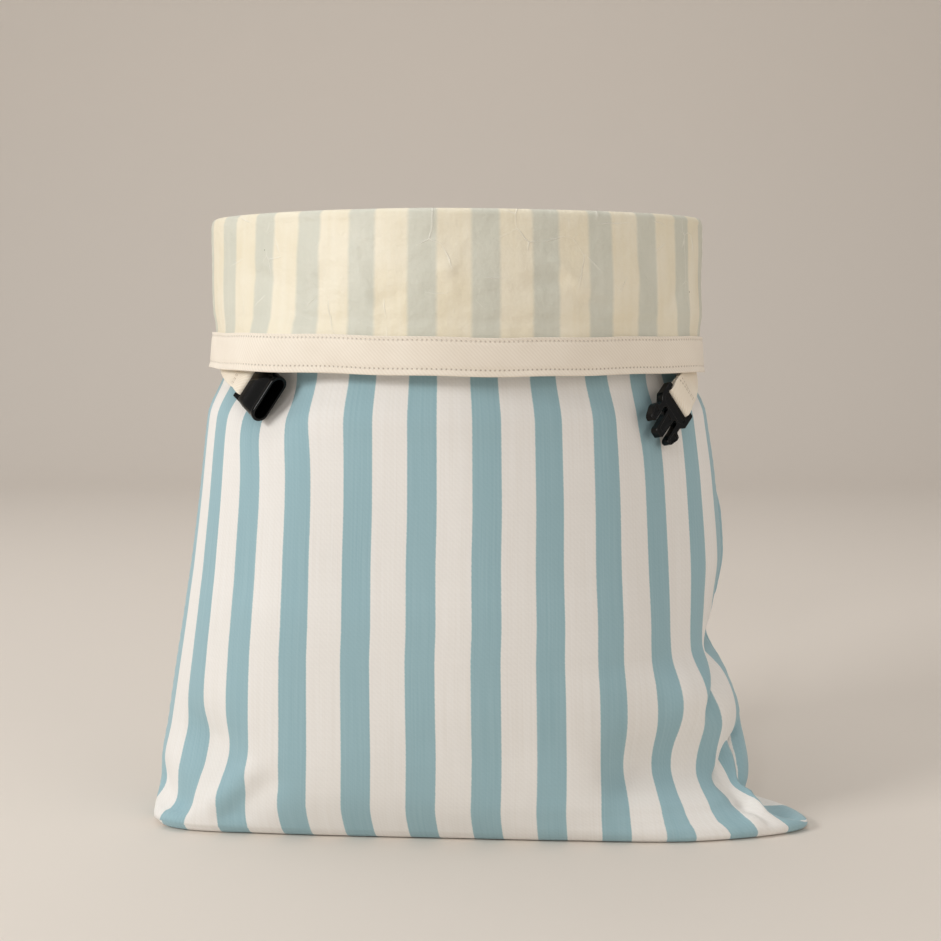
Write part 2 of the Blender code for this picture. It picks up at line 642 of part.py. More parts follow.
def build():
    """Clear the scene and make every piece of the bag."""
    for old in list(bpy.data.objects):
        bpy.data.objects.remove(old)
    cloth = paint("striped_cloth", (0.52, 0.66, 0.69), 0.85)
    twill = paint("band_twill", (0.88, 0.82, 0.72), 0.9)
    webbing = paint("strap_webbing", (0.86, 0.79, 0.68), 0.9)
    plastic = paint("buckle_plastic", (0.012, 0.012, 0.013), 0.25)
    add_panel("front", cloth)
    add_panel("back", cloth)
    add_band(twill)
    add_strap("left_strap", LEFT_STRAP, LEFT_AIM, webbing)
    add_strap("right_strap", RIGHT_STRAP, RIGHT_AIM, webbing)
    add_socket(plastic)
    add_plug(plastic)


build()
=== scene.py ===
import math

import bmesh
import bpy
import numpy as np
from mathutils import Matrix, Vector, noise


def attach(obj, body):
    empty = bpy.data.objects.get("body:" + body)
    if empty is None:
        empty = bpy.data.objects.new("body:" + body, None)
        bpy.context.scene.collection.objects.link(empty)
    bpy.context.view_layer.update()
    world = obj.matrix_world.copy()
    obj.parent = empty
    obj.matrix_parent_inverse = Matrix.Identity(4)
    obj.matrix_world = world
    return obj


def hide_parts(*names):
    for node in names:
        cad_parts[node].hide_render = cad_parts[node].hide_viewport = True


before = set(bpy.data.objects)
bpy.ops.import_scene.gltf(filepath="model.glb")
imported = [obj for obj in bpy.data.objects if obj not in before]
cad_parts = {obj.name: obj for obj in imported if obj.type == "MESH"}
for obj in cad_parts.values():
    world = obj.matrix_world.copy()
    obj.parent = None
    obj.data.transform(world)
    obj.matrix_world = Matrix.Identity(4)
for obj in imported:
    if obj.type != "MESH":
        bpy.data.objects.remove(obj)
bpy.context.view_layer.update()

# Front panel
#
# One length of striped cotton and linen, coated cream on its inner side. It starts at the seam under the
# middle of the base, goes up the front and over the rim, and comes down the outside as the front of the
# cuff, where the coated side shows. It is sewn to the back panel down both sides and along the base.

MM = 0.001
PANEL_WIDTH = 419.0      # between the side seams; this and all the cloth's places are in millimetres
CLOTH = 1.4
RIM_HEIGHT = 357.0
RIM_FOLD = 3.1           # middle radius of the fold over the rim
CUFF_END = 265.5         # lower edge of the cuff's cloth, under the band
NECK_INSET = 7.2         # how far the wall lies inside the cuff
NECK_START = 236.0       # height at which the wall starts to draw in
BOTTOM_ROUND = 3.2       # radius of the cloth round the base's edge
SEAM_END_INSET = 9.0     # the base seam stops this far inside the side seams
ORIGIN = np.array([6.27, 97.9, 0.0])    # the frame's origin in the tables' places

# The bag's outer outline at each height: plan places of its ends, seams, front, back and crown, the
# exponents of its quarter curves, a turn about its middle in degrees, and how far, in radians, the left
# front quarter is cut short to make its seam a point.
SECTION_COLUMNS = ("z", "left", "right", "left_seam", "right_seam", "front", "back", "crown",
                   "full_left", "full_right", "full_back", "turn", "point_left")
SECTIONS = np.array((
    (0, -181, 200, 51, 38, -2.0, 117, 50, 6.0, 1.7, 1.9, -4.0, 0.0),
    (4, -183, 200, 51, 38, -2.3, 118, 50, 5.8, 1.7, 1.9, -4.0, 0.0),
    (8, -184, 194, 52, 40, -2.8, 120, 45, 5.2, 1.75, 1.8, -4.0, 0.0),
    (10.5, -185, 185, 53, 43, -3.2, 122, 30, 4.6, 1.9, 1.8, -4.0, 0.0),
    (13, -185, 177, 54, 48, -3.7, 124, 10, 4.0, 2.2, 1.9, -4.0, 0.0),
    (17, -185, 169.5, 56, 55, -4.7, 127, -10, 3.5, 2.4, 2.2, -4.0, 0.02),
    (30, -186, 169, 62, 61, -8, 134, -22, 2.8, 2.15, 2.3, -3.5, 0.12),
    (55, -183, 166, 68, 71, -11, 144, -17, 2.6, 1.9, 2.3, -3.0, 0.25),
    (84, -178, 156, 66, 82, -12, 155, -11, 2.5, 2.0, 2.2, -3.0, 0.28),
    (103, -174.5, 147, 65, 90, -12, 161, -7, 2.5, 1.95, 2.2, -3.0, 0.3),
    (128, -170, 151, 65, 97, -11, 168, -4, 2.45, 1.8, 2.1, -2.5, 0.3),
    (152, -166.5, 155.5, 68, 102, -8, 174, 0, 2.4, 1.65, 2.1, -2.5, 0.3),
    (195, -162, 153, 78, 108, -3, 184, -1, 2.4, 1.62, 2.1, -2.0, 0.3),
    (235, -159.5, 147.5, 92, 114, 1, 191, -8, 2.3, 1.65, 2.1, -2.0, 0.3),
    (263, -158, 143.5, 108, 120, 1, 196, -12, 2.0, 1.7, 2.1, -2.0, 0.2),
    (285, -158, 143, 120, 125, 4, 199, -14, 1.8, 1.7, 2.1, -2.0, 0.1),
    (300, -161, 145, 128, 128, 6, 201, -15, 1.7, 1.7, 2.1, -2.0, 0.05),
    (357, -164, 146, 148, 138, 16, 207, -18, 1.65, 1.65, 2.1, -2.0, 0.0),
), float)
ANCHOR_COLUMN = 201.0    # this column of cloth hangs straight, at this place across
ANCHOR_X = -12.0
PACE_LOW = 1.02          # cloth to each unit of outline near the middle, at the floor and at the rim
PACE_HIGH = 0.975

# Where the cuff and the band stand out over the buckle halves.
BULGE_COLUMNS = ("around", "height", "reach_around", "reach_up", "out")
BULGES = (
    (86.0, 263.0, 31.0, 36.0, 7.4),
    (374.0, 263.0, 28.0, 30.0, 3.6),
)

# Folds, each along a line between two places on the cloth. Width is its reach to each side, depth goes in
# (out where negative), and lap carries its bottom under the edge on the upper left.
FOLD_COLUMNS = ("around_1", "height_1", "around_2", "height_2", "width", "depth", "lap")
WALL_FOLDS = (
    (60, 266, 104, 250, 18, 6.5, 0),
    (80, 232, 80, 275, 18, 0, -3.5),
    (114, 246, 114, 280, 24, 0, -4),
    (330, 240, 366, 262, 17, 3.5, 0),
    (313, 40, 394, 38, 17, 12, 0),
    (350, 28, 350, 46, 17, 0, -3.5),
    (350, 76, 380, 73, 14, -3.5, 0),
    (425, 112, 400, 99, 8, 6, 9),
    (400, 99, 374, 68, 7.5, 6.5, 10),
    (419, 48, 419, 18, 8, 7, 0),
    (412, 46, 384, 26, 7.5, 6, 8),
    (366, 12, 366, 30, 14, 0, -3),
    (384, 30, 391, 10, 5.5, 4.5, 0),
    (419, 8, 419, 32, 16, 0, -12),
    (386, 9, 409, 18, 4.5, -4.5, 0),
    (393, 21, 409, 28, 5.5, 3.5, 0),
    (425, 10, 447, 13, 9, 6, 0),
    (432, 175, 432, 130, 12, -3, 0),
    (24, 20, 42, 15, 10, 6, 0),
    (48, 18, 48, 34, 12, 0, 6),
    (62, 48, 72, 45, 19, 7, 0),
    (46, 58, 62, 54, 11, 2.5, 0),
    (72, 18, 91, 37, 7, -2.6, 0),
    (84, 12, 106, 32, 9, 2.6, 0),
    (300, 235, 318, 120, 14, -0.8, 0),
    (346, 232, 352, 120, 10, 0.9, 0),
    (120, 235, 106, 90, 16, -0.8, 0),
    (92, 240, 84, 140, 8, 0.7, 0),
    (200, 60, 236, 52, 14, 0.8, 0),
    (520, 240, 540, 90, 16, 1.2, 0),
    (560, 60, 600, 40, 16, 3, 0),
    (480, 70, 520, 34, 12, 2.5, 0),
    (720, 240, 700, 120, 14, 1, 0),
    (740, 70, 790, 34, 14, 3, 0),
    (640, 110, 700, 60, 20, -1.6, 0),
)
FOLD_FADE = 7.0          # folds grow over this height above the base
# The cuff's coated side faces out, so depth stands its old creases out.
CUFF_FOLDS = (
    (78, 290, 78, 266, 22, 0, -4.5),
    (400, 345, 400, 270, 16, 0, 3),
    (150, 333, 163, 297, 3.2, 1, 0),
    (200, 338, 206, 322, 2.8, 0.9, 0),
    (212, 336, 206, 322, 2.8, 0.8, 0),
    (206, 322, 209, 310, 2.8, 0.9, 0),
    (225, 318, 233, 300, 3.5, 0.7, 0),
    (271, 327, 288, 311, 3.2, 1, 0),
    (257, 316, 271, 317, 5, -1.3, 0),
    (288, 304, 302, 302, 5, -1.3, 0),
    (166, 306, 177, 308, 4.5, -1.2, 0),
    (70, 322, 92, 318, 5, -0.9, 0),
    (118, 312, 128, 335, 3.5, 0.8, 0),
    (104, 300, 122, 296, 4, -0.8, 0),
    (322, 330, 334, 306, 3.5, 0.8, 0),
    (352, 300, 368, 312, 4, -0.9, 0),
    (60, 296, 350, 294, 2.6, -0.4, 0),
    (560, 318, 580, 330, 4, 0.9, 0),
    (660, 310, 690, 306, 5, -1.1, 0),
    (730, 332, 742, 304, 3.2, 0.9, 0),
)

CUFF_START = 351.5       # the cuff hangs down from here, behind the fold over the rim
CROWDING = 0.42          # how much closer the cloth's divisions lie at the side seams
PANEL_COLUMNS = 168      # divisions of the drawn cloth across a panel
BASE_ROWS = 8            # rows of the drawn cloth under the base, round its edge and over the rim
EDGE_ROWS = 8
RIM_ROWS = 13
WALL_HEIGHTS = np.concatenate([np.arange(4.6, 110, 1.5), np.arange(111, 352, 3.2)])
CUFF_STEP = 1.6          # between rows of the cuff
QUARTER_POINTS = 240     # on each quarter curve of an outline
SEAM_TURN = (1.6, 2.6)   # how far the side seams are drawn in, and over what width
SEAM_CHANGE = 7          # rows at the rim over which they are drawn to the cloth's other side
PUCKER = (0.18, 8.0, 7.0)                # height and spacing of the puckers along a seam, and their width
SWELLS = {"wall": (0.9, 55.0, 150.0),    # height of the cloth's soft unevenness, and its spread round and up
          "cuff": (1.0, 45.0, 30.0)}
ROLL = (24.0, 6.0)       # height from which the front rolls under towards the base, and how far it goes
ROLL_SPAN = (30.0, 340.0, 60.0)          # the columns it rolls between, and the width over which it starts


def smooth_between(places, values, wanted):
    """Rows of values on smooth curves through a table's rows, which never overshoot them."""
    steps = np.diff(places)[:, None]
    rates = np.diff(values, axis=0) / steps
    slopes = np.zeros(values.shape)
    slopes[[0, -1]] = rates[[0, -1]]
    same = rates[:-1] * rates[1:] > 0
    slopes[1:-1][same] = 2 / (1 / rates[:-1][same] + 1 / rates[1:][same])
    wanted = np.clip(wanted, places[0], places[-1])
    i = np.clip(np.searchsorted(places, wanted) - 1, 0, len(steps) - 1)
    h, t = steps[i], (wanted - places[i])[:, None] / steps[i]
    return ((2 * t**3 - 3 * t**2 + 1) * values[i] + (t**3 - 2 * t**2 + t) * h * slopes[i]
            + (3 * t**2 - 2 * t**3) * values[i + 1] + (t**3 - t**2) * h * slopes[i + 1])


def unit(vectors):
    """Directions of vectors, each one long."""
    return vectors / np.maximum(np.linalg.norm(vectors, axis=-1, keepdims=True), 1e-9)


def run_along(points):
    """How far along its line each point lies, for one line or for many side by side."""
    steps = np.linalg.norm(np.diff(points, axis=0), axis=-1)
    return np.concatenate([steps[:1] * 0, np.cumsum(steps, axis=0)])


def eased(share):
    """A share from 0 to 1 that starts and stops softly."""
    return share * share * (3 - 2 * share)


def outline(z, shares):
    """Plan points of one height: shares 0 to 1 go round the front, 1 to 2 round the back."""
    row = smooth_between(SECTIONS[:, 0], SECTIONS, np.array([float(z)]))[0]
    level = dict(zip(SECTION_COLUMNS, row.tolist()))
    pace = PACE_LOW + (PACE_HIGH - PACE_LOW) * level["z"] / RIM_HEIGHT
    middle = (level["front"] + level["back"]) / 2
    turn = math.radians(level["turn"])
    plan = np.zeros((len(shares), 2))
    for face, chosen in (("front", shares <= 1), ("back", shares > 1)):
        quarters = []
        for side in ("left", "right"):
            fullness = level["full_back"] if face == "back" else level["full_" + side]
            start = level["point_left"] if (face, side) == ("front", "left") else 0.0
            sweep = np.linspace(start, math.pi / 2, QUARTER_POINTS)
            across = np.cos(sweep) ** (2 / fullness)
            along = np.sin(sweep) ** (2 / fullness)
            seam = (level[side + "_seam"] - level[face] * along[0]) / (1 - along[0])
            quarters.append(np.stack([level["crown"] + (level[side] - level["crown"]) * across / across[0],
                                      seam + (level[face] - seam) * along], axis=1))
        half = np.concatenate([quarters[0], quarters[1][-2::-1]])
        run = run_along(half)
        anchor_run = np.interp(ANCHOR_X, half[:, 0], run)
        cloth = (shares[chosen] if face == "front" else 2 - shares[chosen]) * PANEL_WIDTH
        left = cloth <= ANCHOR_COLUMN
        length = np.where(left, ANCHOR_COLUMN, PANEL_WIDTH - ANCHOR_COLUMN)
        room = np.where(left, anchor_run, run[-1] - anchor_run)
        away = np.abs(cloth - ANCHOR_COLUMN) / length
        reach = length * pace * away + (room - length * pace) * away**5
        places = anchor_run + np.where(left, -reach, reach)
        x = np.interp(places, run, half[:, 0])
        y = np.interp(places, run, half[:, 1]) - middle
        plan[chosen, 0] = x * math.cos(turn) - y * math.sin(turn)
        plan[chosen, 1] = middle + x * math.sin(turn) + y * math.cos(turn)
    return plan


def loop_directions(points):
    """Directions along a closed loop of points, or along a stack of them."""
    return unit(np.roll(points, -1, axis=-2) - np.roll(points, 1, axis=-2))


def plan_outward(plan):
    """Directions pointing out of a closed plan outline."""
    direction = loop_directions(plan)
    return np.stack([direction[:, 1], -direction[:, 0]], axis=1)


def bulge_out(around, z):
    """How far the cuff stands out over the buckle halves."""
    out = np.zeros(len(around))
    for row in BULGES:
        bulge = dict(zip(BULGE_COLUMNS, row))
        aside = (around - bulge["around"]) / bulge["reach_around"]
        above = (z - bulge["height"]) / bulge["reach_up"]
        out += bulge["out"] * np.exp(-aside**2 - above**2)
    return out


def neck_inset(z):
    """How far the wall lies inside the cuff's outline at one height."""
    return NECK_INSET * eased(min(max((z - NECK_START) / (CUFF_END - NECK_START), 0.0), 1.0))


def sheet_normals(grid):
    """Directions out of the cloth's striped side: out of the wall, down under the base."""
    across = np.roll(grid, -1, axis=1) - np.roll(grid, 1, axis=1)
    normals = np.cross(across, np.gradient(grid, axis=0))
    normals[:BASE_ROWS] = (0.0, 0.0, -1.0)
    return unit(normals)


def press_folds(grid, around, folds):
    """Cloth points moved by a table of folds."""
    normals = sheet_normals(grid)
    tangent = loop_directions(grid)
    upright = np.array([0.0, 0.0, 1.0])
    height = grid[..., 2]
    clear = np.clip((height - BOTTOM_ROUND - CLOTH / 2) / FOLD_FADE, 0, 1)
    moved = grid.copy()
    for row in folds:
        fold = dict(zip(FOLD_COLUMNS, row))
        run_s, run_z = fold["around_2"] - fold["around_1"], fold["height_2"] - fold["height_1"]
        length = math.hypot(run_s, run_z)
        from_s = (around - fold["around_1"] + PANEL_WIDTH) % (2 * PANEL_WIDTH) - PANEL_WIDTH
        from_z = height - fold["height_1"]
        along = (from_s * run_s + from_z * run_z) / length
        aside = (from_s * run_z - from_z * run_s) / length
        past = np.maximum(np.abs(along - length / 2) - length / 2, 0)
        strength = (clear * np.exp(-(aside / fold["width"])**2 - (past / fold["width"])**2))[..., None]
        under = (tangent * run_z - upright * run_s) * fold["lap"] / length
        moved += (under - normals * fold["depth"]) * strength
    return moved


def cloth_rows():
    """Rows of the cloth from the base seam to the cuff's edge: kind, height, inset from the outline."""
    rows = [("base", CLOTH / 2, share) for share in np.linspace(0, 1, BASE_ROWS + 1)[:-1]]
    for turn in np.radians(np.linspace(90, 0, EDGE_ROWS)):
        rise = BOTTOM_ROUND * (1 - math.sin(turn))
        rows.append(("edge", CLOTH / 2 + rise, BOTTOM_ROUND * (1 - math.cos(turn))))
    rows += [("wall", z, 0.0) for z in WALL_HEIGHTS]
    top = RIM_HEIGHT - CLOTH / 2 - RIM_FOLD
    for turn in np.radians(np.linspace(180, 0, RIM_ROWS)):
        rows.append(("rim", top + RIM_FOLD * math.sin(turn), RIM_FOLD * (1 - math.cos(turn))))
    return rows + [("cuff", z, 0.0) for z in (*np.arange(CUFF_START, CUFF_END, -CUFF_STEP), CUFF_END)]


# How far the cuff's lower edge, and the band on it, sit above their even height, by place round the bag.
EDGE_RISE = np.array((
    (0, 1.6), (60, 2.3), (120, 2.6), (180, 1.8), (240, 0.7), (300, 0.7), (360, 0.4), (400, -0.7),
    (419, -1.3), (480, -1.0), (600, 0.0), (780, 1.0), (838, 1.6),
), float)


def edge_rise(around):
    """The rise of the cuff's lower edge at places round the bag."""
    return np.interp(around % (2 * PANEL_WIDTH), EDGE_RISE[:, 0], EDGE_RISE[:, 1])


def column_places():
    """Places of the cloth's divisions round both panels, as shares of a panel, closer near the seams."""
    even = np.linspace(0, 2, 2 * PANEL_COLUMNS + 1)
    return even - CROWDING * np.sin(math.tau * even) / math.tau


def cloth_grid():
    """Middle points of the whole cloth, each one's way round and way along, and the rows' kinds."""
    rows = cloth_rows()
    shares = column_places()[:-1]
    around = shares * PANEL_WIDTH
    foot = outline(0, shares)
    left, right = foot[0], foot[PANEL_COLUMNS]
    inset = unit(right - left) * SEAM_END_INSET
    across = np.where(shares <= 1, shares, 2 - shares)[:, None]
    seam = left + inset + (right - left - 2 * inset) * across
    towards = unit(seam - foot)
    first, last, grown = ROLL_SPAN
    rolled = np.clip((last - around) / grown, 0, 1) * np.clip((around - first) / grown, 0, 1)
    grid = []
    for kind, z, amount in rows:
        roll = (ROLL[1] * max(1 - z / ROLL[0], 0.0)**2 * rolled)[:, None]
        if kind == "base":
            plan = seam + (foot + towards * (BOTTOM_ROUND + roll) - seam) * amount
        elif kind == "edge":
            plan = foot + towards * (amount + roll)
        else:
            plan = outline(z, shares)
            inwards = np.full(len(shares), amount)
            inwards += neck_inset(z) if kind == "wall" else 0.0
            inwards -= bulge_out(around, z) if kind == "cuff" else 0.0
            plan = plan - plan_outward(plan) * inwards[:, None] + towards * roll
        rise = edge_rise(around) * (CUFF_START - z) / (CUFF_START - CUFF_END) if kind == "cuff" else 0.0
        grid.append(np.column_stack([plan, np.full(len(plan), z) + rise]))
    grid = np.array(grid)
    kinds = np.array([row[0] for row in rows])
    wide = np.broadcast_to(around, grid.shape[:2])
    for kind, folds in (("wall", WALL_FOLDS), ("cuff", CUFF_FOLDS)):
        grid = np.where((kinds == kind)[:, None, None], press_folds(grid, wide, folds), grid)
    return grid, wide, run_along(grid).mean(axis=1), kinds


def soften(grid, around, along, kinds):
    """The cloth's striped face, with soft swells, and its seams drawn in and puckered."""
    normals = sheet_normals(grid)
    swell = np.zeros(grid.shape[:2])
    radius = PANEL_WIDTH / math.pi
    for i, kind in enumerate(kinds):
        if kind in SWELLS:
            height, spread_round, spread_up = SWELLS[kind]
            for j, turn in enumerate(around[i] / PANEL_WIDTH * math.pi):
                place = (radius * math.cos(turn) / spread_round, radius * math.sin(turn) / spread_round,
                         along[i] / spread_up)
                swell[i, j] = height * noise.noise(Vector(place))
    from_seam = np.abs((around + PANEL_WIDTH / 2) % PANEL_WIDTH - PANEL_WIDTH / 2)
    drawn = SEAM_TURN[0] * np.exp(-(from_seam / SEAM_TURN[1])**2)
    pucker, spacing, width = PUCKER
    ripple = pucker * np.exp(-(from_seam / width)**2) * np.sin(math.tau * along[:, None] / spacing)
    # The seam is drawn towards the bag's inside all the way: to the coated side of the wall, and to the
    # striped side of the cuff.
    side = np.where(kinds == "cuff", -1.0, np.where(kinds == "rim", 0.0, 1.0))
    side = np.convolve(np.pad(side, SEAM_CHANGE // 2, "edge"), np.ones(SEAM_CHANGE) / SEAM_CHANGE,
                       "valid")[:, None]
    held = np.isin(kinds, ("wall", "cuff", "rim"))[:, None]
    return grid + normals * (CLOTH / 2 + (swell + ripple - side * drawn) * held)[..., None]


grid, around, along, kinds = cloth_grid()
cloth = soften(grid, around, along, kinds)


def linear(colour):
    """An sRGB hex colour as linear red, green, blue and alpha."""
    parts = [int(colour[i:i + 2], 16) / 255 for i in (1, 3, 5)]
    return tuple(c / 12.92 if c <= 0.04045 else ((c + 0.055) / 1.055)**2.4 for c in parts) + (1.0,)


def adjusted(thing, **settings):
    """One of Blender's things with these settings."""
    for name, value in settings.items():
        setattr(thing, name, value)
    return thing


def feed(tree, node, inputs):
    """Give each input its value, or what feeds it: an output, or a node by the first output it has in use."""
    for place, value in inputs.items():
        if isinstance(value, bpy.types.Node):
            value = next(socket for socket in value.outputs if socket.enabled)
        if isinstance(value, bpy.types.NodeSocket):
            tree.links.new(value, node.inputs[place])
        else:
            node.inputs[place].default_value = value


def add_node(tree, kind, inputs=None, **settings):
    """A node with its settings and what its inputs are given."""
    made = adjusted(tree.nodes.new(kind), **settings)
    feed(tree, made, inputs or {})
    return made


def new_finish(name):
    """An empty material, its node tree and its surface shader."""
    finish = adjusted(bpy.data.materials.new(name), use_nodes=True)
    return finish, finish.node_tree, finish.node_tree.nodes["Principled BSDF"]


STRIPE_FIRST = 1.6       # from the side seam to the first blue stripe
STRIPE_REPEAT = 36.3     # a blue stripe and a white one together
STRIPE_BLUE = 16.5
STRIPE_EDGE = (0.3, 1.4)                 # how soft the stripes' edges are: woven, and under the coating
DIAGONAL_LINES = math.sqrt(2) * 1.6      # lines to a metre in a diagonal wave texture at a scale of 1


def stripe_mask(tree, uv, edge):
    """1 on a blue stripe and 0 on a white one, its edges as uneven as the threads."""
    threads = add_node(tree, "ShaderNodeTexNoise", {"Vector": uv, "Scale": 900.0, "Detail": 1.0})
    drift = add_node(tree, "ShaderNodeMath", {0: threads, 1: 0.5 * MM, 2: -0.25 * MM},
                     operation="MULTIPLY_ADD")
    place = add_node(tree, "ShaderNodeSeparateXYZ", {0: uv})
    moved = add_node(tree, "ShaderNodeMath", {0: place, 1: drift})
    middle = (STRIPE_FIRST + STRIPE_BLUE / 2) / STRIPE_REPEAT
    turn = add_node(tree, "ShaderNodeMath", {0: moved, 1: 1 / (STRIPE_REPEAT * MM), 2: 0.5 - middle},
                    operation="MULTIPLY_ADD")
    turn = add_node(tree, "ShaderNodeMath", {0: turn}, operation="FRACT")
    away = add_node(tree, "ShaderNodeMath", {0: turn, 1: 0.5}, operation="SUBTRACT")
    away = add_node(tree, "ShaderNodeMath", {0: away}, operation="ABSOLUTE")
    half = STRIPE_BLUE / 2 / STRIPE_REPEAT
    soft = edge / STRIPE_REPEAT
    return add_node(tree, "ShaderNodeMapRange",
                    {"Value": away, "From Min": half - soft, "From Max": half + soft, "To Min": 1.0,
                     "To Max": 0.0}, interpolation_type="SMOOTHSTEP")


def striped_cloth():
    """Cotton and linen twill, yarn dyed in blue and white: matt, with a fine diagonal and uneven threads."""
    finish, tree, shader = new_finish("striped_cotton_linen_twill")
    uv = add_node(tree, "ShaderNodeUVMap", uv_map="cloth")
    blue = stripe_mask(tree, uv, STRIPE_EDGE[0])
    # Single threads are too fine to show, so their unevenness is drawn about 1 mm wide.
    warp = add_node(tree, "ShaderNodeMapping", {"Vector": uv, "Scale": (900, 12, 1)})
    warp = add_node(tree, "ShaderNodeTexNoise", {"Vector": warp, "Scale": 1.0, "Detail": 2.0})
    weft = add_node(tree, "ShaderNodeMapping", {"Vector": uv, "Scale": (40, 1100, 1)})
    weft = add_node(tree, "ShaderNodeTexNoise", {"Vector": weft, "Scale": 1.0, "Detail": 2.0})
    # The real diagonals are 0.6 mm apart, too fine to show, and are drawn 2.2 mm apart.
    twill = add_node(tree, "ShaderNodeTexWave", {"Vector": uv, "Scale": 1 / (2.2 * MM) / DIAGONAL_LINES,
                                                 "Distortion": 0.4, "Detail": 1.0},
                     bands_direction="DIAGONAL").outputs["Fac"]
    blotch = add_node(tree, "ShaderNodeTexNoise", {"Vector": uv, "Scale": 16.0, "Detail": 3.0})
    whites = add_node(tree, "ShaderNodeMix", {0: warp, 6: linear("#E9E5DF"), 7: linear("#F3F1EE")},
                      data_type="RGBA")
    blues = add_node(tree, "ShaderNodeMix", {0: warp, 6: linear("#8FB2BC"), 7: linear("#A3C2CA")},
                     data_type="RGBA")
    colour = add_node(tree, "ShaderNodeMix", {0: blue, 6: whites, 7: blues}, data_type="RGBA")
    thread = add_node(tree, "ShaderNodeMath", {0: twill, 1: 0.45, 2: weft}, operation="MULTIPLY_ADD")
    thread = add_node(tree, "ShaderNodeMath", {0: thread, 1: blotch})
    shade = add_node(tree, "ShaderNodeMapRange", {"Value": thread, "From Min": 0.7, "From Max": 1.9,
                                                  "To Min": 0.965, "To Max": 1.025})
    toned = add_node(tree, "ShaderNodeVectorMath", {0: colour, 1: shade}, operation="MULTIPLY")
    relief = add_node(tree, "ShaderNodeMath", {0: thread, 1: warp})
    bump = add_node(tree, "ShaderNodeBump", {"Height": relief, "Strength": 0.2, "Distance": 0.1 * MM})
    feed(tree, shader, {"Base Color": toned, "Normal": bump, "Roughness": 0.88, "Sheen Weight": 0.25,
                        "Sheen Roughness": 0.5})
    return finish


def coated_cloth():
    """The cloth's waxy cream coating: faint stripes show through it, and old creases are white and fine."""
    finish, tree, shader = new_finish("cream_wax_coating")
    uv = add_node(tree, "ShaderNodeUVMap", uv_map="cloth")
    blue = stripe_mask(tree, uv, STRIPE_EDGE[1])
    blotch = add_node(tree, "ShaderNodeTexNoise", {"Vector": uv, "Scale": 24.0, "Detail": 4.0})
    streak = add_node(tree, "ShaderNodeMapping", {"Vector": uv, "Scale": (260, 14, 1)})
    streak = add_node(tree, "ShaderNodeTexNoise", {"Vector": streak, "Scale": 1.0, "Detail": 2.0})
    tone = add_node(tree, "ShaderNodeMath", {0: streak, 1: 0.4, 2: blotch}, operation="MULTIPLY_ADD")
    tone = add_node(tree, "ShaderNodeMapRange", {"Value": tone, "From Min": 0.45, "From Max": 0.95})
    plain = add_node(tree, "ShaderNodeMix", {0: tone, 6: linear("#EDE3C9"), 7: linear("#F4EDDA")},
                     data_type="RGBA")
    striped = add_node(tree, "ShaderNodeMix", {0: tone, 6: linear("#D2D2C4"), 7: linear("#DDDCCE")},
                       data_type="RGBA")
    colour = add_node(tree, "ShaderNodeMix", {0: blue, 6: plain, 7: striped}, data_type="RGBA")
    # Creases run along the borders of large uneven cells, bent a little, and only here and there.
    bend = add_node(tree, "ShaderNodeTexNoise", {"Vector": uv, "Scale": 45.0, "Detail": 2.0})
    bend = add_node(tree, "ShaderNodeVectorMath", {0: bend.outputs["Color"], 1: (0.006, 0.006, 0.0), 2: uv},
                    operation="MULTIPLY_ADD")
    line = add_node(tree, "ShaderNodeTexVoronoi", {"Vector": bend, "Scale": 34.0}, feature="DISTANCE_TO_EDGE")
    line = add_node(tree, "ShaderNodeMapRange", {"Value": line, "From Min": 0.0, "From Max": 0.02,
                                                 "To Min": 1.0, "To Max": 0.0})
    here = add_node(tree, "ShaderNodeTexNoise", {"Vector": uv, "Scale": 38.0, "Detail": 1.0})
    here = add_node(tree, "ShaderNodeMapRange", {"Value": here, "From Min": 0.54, "From Max": 0.64})
    crease = add_node(tree, "ShaderNodeMath", {0: line, 1: here}, operation="MULTIPLY")
    pale = add_node(tree, "ShaderNodeMath", {0: crease, 1: 0.45}, operation="MULTIPLY")
    colour = add_node(tree, "ShaderNodeMix", {0: pale, 6: colour, 7: linear("#FDFAF0")}, data_type="RGBA")
    # A few cells of a finer pattern hold a dark speck each.
    cells = add_node(tree, "ShaderNodeTexVoronoi", {"Vector": uv, "Scale": 60.0})
    rare = add_node(tree, "ShaderNodeSeparateColor", {0: cells.outputs["Color"]})
    rare = add_node(tree, "ShaderNodeMath", {0: rare, 1: 0.9}, operation="GREATER_THAN")
    near = add_node(tree, "ShaderNodeMath", {0: cells, 1: 0.035}, operation="LESS_THAN")
    speck = add_node(tree, "ShaderNodeMath", {0: rare, 1: near}, operation="MULTIPLY")
    speck = add_node(tree, "ShaderNodeMath", {0: speck, 1: 0.6}, operation="MULTIPLY")
    colour = add_node(tree, "ShaderNodeMix", {0: speck, 6: colour, 7: linear("#7C7363")}, data_type="RGBA")
    dents = add_node(tree, "ShaderNodeTexNoise", {"Vector": uv, "Scale": 80.0, "Detail": 3.0})
    relief = add_node(tree, "ShaderNodeMath", {0: crease, 1: 0.2, 2: dents}, operation="MULTIPLY_ADD")
    bump = add_node(tree, "ShaderNodeBump", {"Height": relief, "Strength": 0.8, "Distance": 1.8 * MM})
    feed(tree, shader, {"Base Color": colour, "Normal": bump, "Roughness": 0.52, "Specular IOR Level": 0.35})
    return finish


def add_object(name, data):
    """An object in the scene, at its origin."""
    made = bpy.data.objects.new(name, data)
    bpy.context.scene.collection.objects.link(made)
    return made


